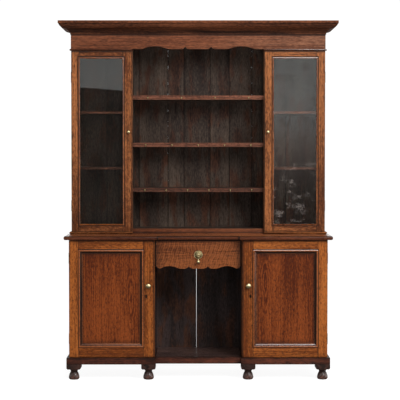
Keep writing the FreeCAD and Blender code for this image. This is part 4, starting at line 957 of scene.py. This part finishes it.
def foot(x, y):
    """One front foot: a waisted turning under a square block with chamfered cheeks."""
    low, high = FOOT_BLOCK
    half = FOOT_BLOCK_HALF
    profile, worn = bowed(FOOT_SHARES, FOOT_RADIUS, low, steps=8, closed=False)
    cheek, dark = bowed(FOOT_BLOCK_SHARES, 2 * half, high - low, steps=4)
    start = np.array((x - half, y - half, low))
    return [lathe(profile, worn, np.array((x, y, 0.0)), Z_AXIS, X_AXIS),
            strip(cheek, dark, start, Y_AXIS, X_AXIS, Z_AXIS, 2 * half, mitres=(0, 0), board=9 * x)]


def hook(x, y, z):
    """A cup hook: a wire that leaves the shelf, bends down and turns up again, with a flange at its root."""
    quarter = np.linspace(0, math.pi / 2, 6)
    bend = np.stack((-HOOK_REACH - HOOK_BEND * np.sin(quarter), HOOK_BEND * (np.cos(quarter) - 1)), axis=-1)
    half = np.linspace(0, math.pi, 15)[1:]
    out = HOOK_REACH + HOOK_BEND + HOOK_CUP
    cup = np.stack((HOOK_CUP * np.cos(half) - out, -HOOK_BEND - HOOK_CUP * np.sin(half)), axis=-1)
    flat = np.vstack(((HOOK_ROOT, 0), (0, 0), bend, cup))
    path = np.concatenate((np.zeros((len(flat), 1)), flat), axis=1) + (x, y, z)
    return [tube(path, HOOK_WIRE, X_AXIS),
            lathe(np.array(HOOK_FLANGE), np.full(len(HOOK_FLANGE), 0.4), np.array((x, y, z)), -Y_AXIS, X_AXIS,
                  segments=20)]


def knob(x, y, z, diameter, rise, shank, shank_length):
    """A turned knob on a door's face, with the shank that goes into the stile."""
    profile, worn = bowed(KNOB_SHARES, diameter, rise, steps=8, closed=False)
    profile = np.vstack(((shank / 2, -shank_length), (shank / 2, 0.0), profile))
    return lathe(profile, np.concatenate(((1, 1), worn)), np.array((x, y, z)), -Y_AXIS, X_AXIS)


class DRESSER_OT_feet(bpy.types.Operator):
    """Turn the front feet and square the rear posts"""
    bl_idname = "dresser.feet"
    bl_label = "Feet"

    def execute(self, context):
        finish = strip_oak("oak_feet", "foot", dirt=0.5, hollow=0.55, coat=0.3, aside=0.3)
        parts = []
        for x in FOOT_PLACES:
            parts += foot(x, centre("front_feet").y)
        piece("turned_feet", parts, ["front_feet"], finish)
        low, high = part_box("rear_feet")
        wide = high.y - low.y
        parts = []
        for board, near in enumerate((low.x, -POST_PLACE - wide, POST_PLACE, high.x - wide)):
            parts.append(bar((near, low.y, low.z), (near + wide, high.y, high.z), POST_EASE, worn=0.3,
                             board=board))
        piece("rear_posts", parts, ["rear_feet"], finish)
        return {"FINISHED"}


class DRESSER_OT_backs(bpy.types.Operator):
    """Set the upright back boards of the rack and the base"""
    bl_idname = "dresser.backs"
    bl_label = "Back boards"

    def execute(self, context):
        for name, joints, kind in (("rack", RACK_JOINTS, "inside"), ("base", BASE_JOINTS, "kennel")):
            node = f"{name}_back_boards"
            low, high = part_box(node)
            parts = [plank(*pair, low, high, board) for board, pair in enumerate(zip(joints, joints[1:]))]
            piece(f"{name}_upright_boards", parts, [node], back_oak(f"oak_{name}_back", kind))
        return {"FINISHED"}


class DRESSER_OT_mouldings(bpy.types.Operator):
    """Run the cornice, the rack's foot, the panel mouldings and the glazing beads"""
    bl_idname = "dresser.mouldings"
    bl_label = "Mouldings"

    def execute(self, context):
        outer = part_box("cornice")[1].x
        self.edge("cornice_lengths", "cornice", CORNICE_SHARES, ((-outer, outer, (1, 1)),), "cornice")
        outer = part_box("rack_foot_mouldings")[1].x
        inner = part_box("right_rack_partition")[0].x
        self.edge("rack_nosing", "rack_foot_mouldings", RACK_FOOT_SHARES,
                  ((-outer, -inner, (1, 0)), (inner, outer, (0, 1))), "upper")
        for side, sign in SIDES.items():
            name = f"{side}_panel_moulding"
            self.lining(name, f"{side}_lower_door_moulding", PANEL_MOULDING_SHARES, MOULDING_WIDTH, 20 * sign,
                        "dark_oak", strip_oak(f"oak_{name}", "moulding", dirt=0.25, hollow=0.97, gloss=0.12,
                                              coat=PANEL_WAX[side], aside=0.3), PANEL_LENGTH_SHADES[side])
            name = f"{side}_pane_bead"
            self.lining(name, f"{side}_upper_door_glazing_bead", GLAZING_BEAD_SHARES, BEAD_WIDTH, 30 * sign,
                        "oak", strip_oak(f"oak_{name}", "door", dirt=0.3, hollow=0.9, roughness=0.26,
                                         gloss=0.5, coat=BEAD_WAX[side], aside=0.1))
        return {"FINISHED"}

    def edge(self, name, node, shares, fronts, kind):
        """A moulding along the front and both sides of the rack, and the board behind its front lengths."""
        low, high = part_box(node)
        side_low, side_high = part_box("right_rack_side")
        reach = high.x - side_high.x
        profile, worn = bowed(shares, reach, high.z - low.z, steps=10)
        corner = np.array((high.x, low.y, low.z))
        back = np.array((low.x, high.y, low.z))
        depth = high.y - low.y
        parts = [strip(profile, worn, corner, Y_AXIS, -X_AXIS, Z_AXIS, depth, mitres=(1, 0), board=2),
                 strip(profile, worn, back, -Y_AXIS, X_AXIS, Z_AXIS, depth, mitres=(0, 1), board=3)]
        for board, (first, last, mitres) in enumerate(fronts, 4):
            start = np.array((first, low.y, low.z))
            parts.append(strip(profile, worn, start, X_AXIS, Y_AXIS, Z_AXIS, last - first, mitres, board))
            if mitres != (1, 1):
                near = (max(first, low.x + reach), low.y + reach, low.z)
                far = (min(last, high.x - reach), side_low.y, high.z)
                parts.append(bar(near, far, SMALL_EASE, worn=0.4, board=board))
        piece(name, parts, [node],
              strip_oak(f"oak_{name}", kind, dirt=0.35, hollow=0.8, roughness=0.5, gloss=0.03))

    def lining(self, name, node, shares, width, board, slot, finish, soiled_and_shaded=(1, 1, 1, 1)):
        """The mitred moulding or bead inside the frame of a door."""
        low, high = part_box(node)
        profile, worn = bowed(shares, width, high.y - low.y)
        parts = ring(profile, worn, (low.x, high.x), high.y, (low.z, high.z), board, soiled_and_shaded)
        piece(name, parts, [node], finish)


class DRESSER_OT_brasses(bpy.types.Operator):
    """Turn the knobs, the catches, the drawer's pull and the cup hooks"""
    bl_idname = "dresser.brasses"
    bl_label = "Brasses"

    def execute(self, context):
        finish = brass("brass")
        for side in SIDES:
            node = f"{side}_lower_door_knob"
            low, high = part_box(node)
            middle = centre(node)
            parts = [knob(middle.x, low.y + KNOB_RISE, middle.z, high.x - low.x, KNOB_RISE, *KNOB_SHANK)]
            piece(f"{side}_door_knob", parts, [node], finish)
            self.catch(side, finish)
        self.pull(finish)
        parts = []
        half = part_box("left_rack_partition")[1].x
        for level, shares in HOOK_SHARES.items():
            shelf = f"{level}_rack_shelf"
            for place in shares:
                parts += hook(-half * place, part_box(shelf)[0].y, centre(shelf).z)
        piece("shelf_cup_hooks", parts, ["cup_hooks"], brass("brass_hooks", hollow=0.9, tarnish=0.5))
        return {"FINISHED"}

    def catch(self, side, finish):
        """The small knob of a glazed door, with the tongue that it turns behind the stile."""
        node = f"{side}_upper_door_catch"
        low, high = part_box(node)
        x, y, z = centre(node).x, low.y + CATCH_KNOB, high.z - CATCH_KNOB / 2
        front = y - CATCH_PLAY
        half, near, far, reach = CATCH_TONGUE
        parts = [knob(x, front, z, CATCH_KNOB, front - low.y, CATCH_SPINDLE, high.y - front),
                 bar((x - half, y + near, z - reach), (x + half, y + far, z + half), SMALL_EASE)]
        piece(f"{side}_turn_catch", parts, [node], finish)

    def pull(self, finish):
        """The rose with its lobed rim, its lugs and pin, and the pear drop."""
        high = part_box("drawer_pull_rose")[1]
        rose = np.array(ROSE_TURNING)
        middle = np.array((0, high.y, high.z - rose[0, 0]))
        parts = [lathe(rose[:, :2], rose[:, 2], middle, -Y_AXIS, X_AXIS, segments=96, lobes=ROSE_LOBES,
                       lobe_depth=rose[:, 3])]
        pivot = middle - PULL_PIVOT
        near, far, half, root, ease = PULL_LUG
        for first, last in ((-far, -near), (near, far)):
            corner = (first, pivot[1] - half, pivot[2] - half)
            parts.append(bar(corner, (last, high.y - root, pivot[2] + half), ease, worn=0.3))
        pin = np.array(PIN_TURNING)
        parts.append(lathe(pin, np.zeros(len(pin)), pivot, X_AXIS, Z_AXIS, segments=20))
        piece("pull_lobed_rose", parts, ["drawer_pull_rose"], finish)
        pear, worn = bowed(PEAR_SHARES, *PEAR_SIZE, closed=False)
        eye = np.array(EYE_SECTION)
        parts = [lathe(pear, worn, pivot - (0, 0, PEAR_SIZE[1]), Z_AXIS, X_AXIS, segments=40),
                 lathe(eye, np.full(len(eye), 0.3), pivot, X_AXIS, Z_AXIS, segments=32, endless=True)]
        piece("pull_pear_drop", parts, ["drawer_pull_drop"], finish)


class DRESSER_OT_doors(bpy.types.Operator):
    """Finish the framed doors, their panels and their panes"""
    bl_idname = "dresser.doors"
    bl_label = "Doors"

    def execute(self, context):
        dress(frame_oak("door", "lower", "moulding", 0.0, "knob", LOWER_SHADES, 0.45),
              both("lower_door_frame"))
        dress(frame_oak("upper", "upper", "glazing_bead", BEAD_WIDTH, "catch", UPPER_SHADES, 0.85),
              both("upper_door_frame"))
        dress(panel_oak(), both("lower_door_panel"))
        dress(old_glass(), both("upper_door_glass"), ease=False)
        return {"FINISHED"}


class DRESSER_OT_drawer(bpy.types.Operator):
    """Finish the drawer's front and its box"""
    bl_idname = "dresser.drawer"
    bl_label = "Drawer"

    def execute(self, context):
        dress(drawer_oak(), ["drawer_front"])
        dress(inside_oak("oak_drawer_box", "slab", "y"), ["drawer_box", "drawer_runners"])
        dress(inside_oak("oak_drawer_bottom", "slab", "x"), ["drawer_bottom"])
        return {"FINISHED"}


class DRESSER_OT_carcass(bpy.types.Operator):
    """Finish the boards of the base and the rack"""
    bl_idname = "dresser.carcass"
    bl_label = "Carcass"

    def execute(self, context):
        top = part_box("cornice")[0].z
        foot_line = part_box("rack_bottom_rail")[0].z + RAIL_FOOT_LINE
        dress(slab_oak(), ["base_top"])
        # Painted shadow under the cornice along the frieze's top, and a painted shade line on the rack's rail
        # above its foot
        dress(level_oak("oak_frieze", "frieze", lambda z: z.near(top, 0.012) * 0.8, FRIEZE_SHEEN), ["frieze"])
        dress(level_oak("oak_frieze_bead", "cornice", coat=1.0), ["frieze_beads"])
        dress(level_oak("oak_rack_rail", "frieze", lambda z: z.near(foot_line, 0.005) * 0.75),
              ["rack_bottom_rail"])
        dress(plinth_oak(), ["plinth_rails"])
        dress(shelf_oak("oak_rack_shelf", "middle_rack_shelf"),
              [f"{level}_rack_shelf" for level in HOOK_SHARES])
        dress(shelf_oak("oak_cupboard_shelf", "right_cupboard_shelves"), both("cupboard_shelves"))
        dress(side_oak("oak_pedestal_side", "door", "kennel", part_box("right_pedestal_inner_side")[0].y),
              both("pedestal_inner_side", "pedestal_outer_side"))
        dress(side_oak("oak_rack_side", "upper", "inside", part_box("right_rack_side")[0].y),
              both("rack_partition", "rack_side"))
        dress(inside_oak("oak_rack_level", "inside", "x"), ["rack_bottom_boards", "rack_top_board"])
        dress(inside_oak("oak_base_level", "kennel_floor", "x", roughness=0.28, gloss=0.5),
              ["base_floor_boards", "pedestal_shelves"])
        return {"FINISHED"}


class DRESSER_OT_ironwork(bpy.types.Operator):
    """Finish the locks and the hinges"""
    bl_idname = "dresser.ironwork"
    bl_label = "Ironwork"

    def execute(self, context):
        names = both("lower_door_lock_case", "lower_door_lock_bolt", "lower_door_hinge_leaves",
                     "upper_door_hinge_leaves")
        dress(iron(), ["fixed_hinges", *names], ease=False)
        return {"FINISHED"}


# Studio

# Cards that only gloss sees: distance, half width, foot and top
FRONT_CARD = (-9.2, 5.0, -6.0, 5.0)
BACK_CARD = (3.2, 7.0, 0.0, 1.5)
SIDE_CARD = (4.5, 3.0, 0.0, 3.0)
# Heights on the front card: where its left half turns bright, and that line's slope; where its right half
# brightens, where the pale spots end, where the glow turns from warm to white, and the card's lit end
CARD_LINE = (2.10, 2.115)
CARD_SLOPE = 0.067
CARD_FALL = (0.6, 2.2)
CARD_SPOTS = (0.9, 1.6)
CARD_WARMTH = (1.3, 1.9)
CARD_END = 2.68
CARD_GLOW = 1.9
# Soft lights: place and aim
LIGHTS = {
    "key": ((3.2, -4.8, 4.2), (0.2, 0.0, 1.0)),
    "fill": ((-3.8, -5.2, 3.6), (-0.2, 0.0, 1.0)),
    "top": ((0.7, -4.4, 4.8), (0.1, -0.1, 0.8)),
}
LIGHT_SIZE = 3.0
FLOOR_REACH = 30.0
SENSOR_WIDTH = 36.0
WHITE = (1.0, 1.0, 1.0)


def upright(first, last, low, high):
    """The corners of an upright sheet over the line from the first to the last place on the floor."""
    return (*first, low), (*last, low), (*last, high), (*first, high)


class DRESSER_OT_studio(bpy.types.Operator):
    """Set the floor, the backdrop, the soft lights and the camera"""
    bl_idname = "dresser.studio"
    bl_label = "Studio"

    def execute(self, context):
        studio = context.scene.dresser_studio
        self.floor(studio)
        self.sky(context.scene, studio)
        self.card()
        far, wide, *heights = BACK_CARD
        self.glow_card("studio_back_card", upright((-wide, far), (wide, far), *heights), studio.backdrop)
        far, wide, *heights = SIDE_CARD
        for name, side in SIDES.items():
            corners = upright((side * far, -wide), (side * far, wide), *heights)
            self.glow_card(f"studio_{name}_card", corners, getattr(studio, f"{name}_glow"))
        for name, (at, aim) in LIGHTS.items():
            lamp = bpy.data.lights.new(f"{name}_light", "AREA")
            lamp.energy = getattr(studio, f"{name}_power")
            lamp.size = LIGHT_SIZE
            self.aimed(lamp, at, aim)
        self.camera(context.scene, studio)
        context.scene.view_settings.view_transform = "Standard"
        context.scene.view_settings.look = "None"
        return {"FINISHED"}

    def sheet(self, name, corners, material):
        """A flat sheet of the stage from its four corners."""
        mesh = bpy.data.meshes.new(name)
        mesh.from_pydata(corners, [], [(0, 1, 2, 3)])
        mesh.materials.append(material)
        made = bpy.data.objects.new(name, mesh)
        bpy.context.scene.collection.objects.link(made)
        return made

    def floor(self, studio):
        """A pale floor that gives light of its own, a little more behind the dresser."""
        finish, x, y, z = begun("pale_floor")
        cloud = finish.noise(finish.vector(x * 1.5, y * 1.5, z))
        material = finish.surface(
            Base_Color=finish.tint(cloud, studio.floor, [part * 0.98 for part in studio.floor]),
            Roughness=0.8, Specular_IOR_Level=0.1, Emission_Strength=studio.floor_glow,
            Emission_Color=finish.tint(finish.ramp(y, 0.5, 4.0), (0.95, 0.95, 0.95), WHITE))
        far = FLOOR_REACH
        made = self.sheet("studio_floor", ((-far, -far, 0), (far, -far, 0), (far, far, 0), (-far, far, 0)),
                          material)
        made.visible_glossy = False

    def sky(self, scene, studio):
        """Even light from all sides; the camera sees a brighter backdrop."""
        finish = Finish("studio_sky", "worlds", "ShaderNodeOutputWorld")

        def even(strength):
            return finish.node("ShaderNodeBackground", None, {"Color": (*WHITE, 1.0), "Strength": strength})

        seen = even(studio.sky)
        for ray, strength in (("Is Glossy Ray", studio.gloss_sky), ("Is Camera Ray", studio.backdrop)):
            path = finish.node("ShaderNodeLightPath", output=ray)
            seen = finish.node("ShaderNodeMixShader", None, {0: path, 1: seen, 2: even(strength)})
        scene.world = finish.close(seen)

    def card(self):
        """The card behind the camera that the panes mirror: bright above, dark below, broken at the right."""
        finish, x, y, z = begun("studio_card")
        cloud = finish.noise(finish.vector(x * 3.4 + 3.0, y, z * 3.4), detail=5.0, roughness=0.72)
        spot = finish.noise(finish.vector(x * 6.0 + 23.0, y, z * 8.5), detail=5.0, roughness=0.65)
        left = finish.ramp(z + x * CARD_SLOPE, *CARD_LINE)
        fall = finish.ramp(z, *CARD_FALL)
        vein = 1.25 - (1.0 - (abs(cloud - 0.5) * 20.0).least(1.0)) * finish.ramp(spot, 0.47, 0.60) * 0.6
        pale = finish.ramp(spot, 0.53, 0.66, 0.0, 1.5) * finish.ramp(z, *CARD_SPOTS, 1.0, 0.0)
        right = fall * vein + pale
        bright = (left + (right - left) * finish.ramp(x, -0.3, 0.3)) * (z < CARD_END)
        glow = finish.tint(finish.ramp(z, *CARD_WARMTH), (1.0, 0.84, 0.77), (1.0, 1.0, 0.98))
        far, wide, *heights = FRONT_CARD
        self.gloss_sheet(finish, finish.tint(bright * 0.5, (0.05, 0.044, 0.040), glow), CARD_GLOW,
                         upright((-wide, far), (wide, far), *heights))

    def glow_card(self, name, corners, strength):
        """A white card: level tops and round edges mirror it."""
        finish, x, y, z = begun(name)
        cloud = finish.noise(finish.vector(x, y, z), detail=1.0)
        made = self.gloss_sheet(finish, finish.tint(cloud, WHITE, (0.97, 0.97, 0.97)), strength, corners)
        made.visible_transmission = False

    def gloss_sheet(self, finish, colour, strength, corners):
        """A sheet that gives light of its own and that only gloss sees."""
        glow = finish.node("ShaderNodeEmission", None, {"Color": colour, "Strength": strength}, "Emission")
        made = self.sheet(finish.owner.name, corners, finish.close(glow))
        made.visible_camera = False
        made.visible_diffuse = False
        made.visible_shadow = False
        return made

    def aimed(self, data, at, aim):
        """A lamp or camera at its place, turned to its aim."""
        made = bpy.data.objects.new(data.name, data)
        made.location = at
        way = mathutils.Vector(aim) - mathutils.Vector(at)
        made.rotation_euler = way.to_track_quat("-Z", "Y").to_euler()
        bpy.context.scene.collection.objects.link(made)
        return made

    def camera(self, scene, studio):
        """The camera in front, a little above the middle."""
        lens = bpy.data.cameras.new("view_camera")
        lens.lens = studio.lens
        lens.sensor_width = SENSOR_WIDTH
        at = (studio.eye_aside, -studio.eye_distance, studio.eye_height)
        aim = (studio.aim_aside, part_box("right_lower_door_frame")[0].y, studio.aim_height)
        scene.camera = self.aimed(lens, at, aim)


OPERATORS = (
    DRESSER_OT_feet, DRESSER_OT_backs, DRESSER_OT_mouldings, DRESSER_OT_brasses, DRESSER_OT_doors,
    DRESSER_OT_drawer, DRESSER_OT_carcass, DRESSER_OT_ironwork, DRESSER_OT_studio,
)
GROUPS = {
    "dresser_timber": DresserTimber,
    "dresser_metal": DresserMetal,
    "dresser_glass": DresserGlass,
    "dresser_studio": DresserStudio,
}


class DRESSER_PT_panel(bpy.types.Panel):
    """The dresser's pieces and finishes in the sidebar"""
    bl_idname = "DRESSER_PT_panel"
    bl_label = "Oak dresser"
    bl_space_type = "VIEW_3D"
    bl_region_type = "UI"
    bl_category = "Dresser"

    def draw(self, context):
        for operator in OPERATORS:
            self.layout.operator(operator.bl_idname)
        for name, group in GROUPS.items():
            column = self.layout.column(align=True)
            for field in group.__annotations__:
                column.prop(getattr(context.scene, name), field)


def register():
    for group in GROUPS.values():
        bpy.utils.register_class(group)
    for name, group in GROUPS.items():
        setattr(bpy.types.Scene, name, bpy.props.PointerProperty(type=group))
    for item in (*OPERATORS, DRESSER_PT_panel):
        bpy.utils.register_class(item)


def unregister():
    for item in (DRESSER_PT_panel, *reversed(OPERATORS)):
        bpy.utils.unregister_class(item)
    for name, group in GROUPS.items():
        delattr(bpy.types.Scene, name)
        bpy.utils.unregister_class(group)


def main():
    register()
    for operator in OPERATORS:
        family, action = operator.bl_idname.split(".")
        getattr(getattr(bpy.ops, family), action)()


if __name__ == "__main__":
    main()
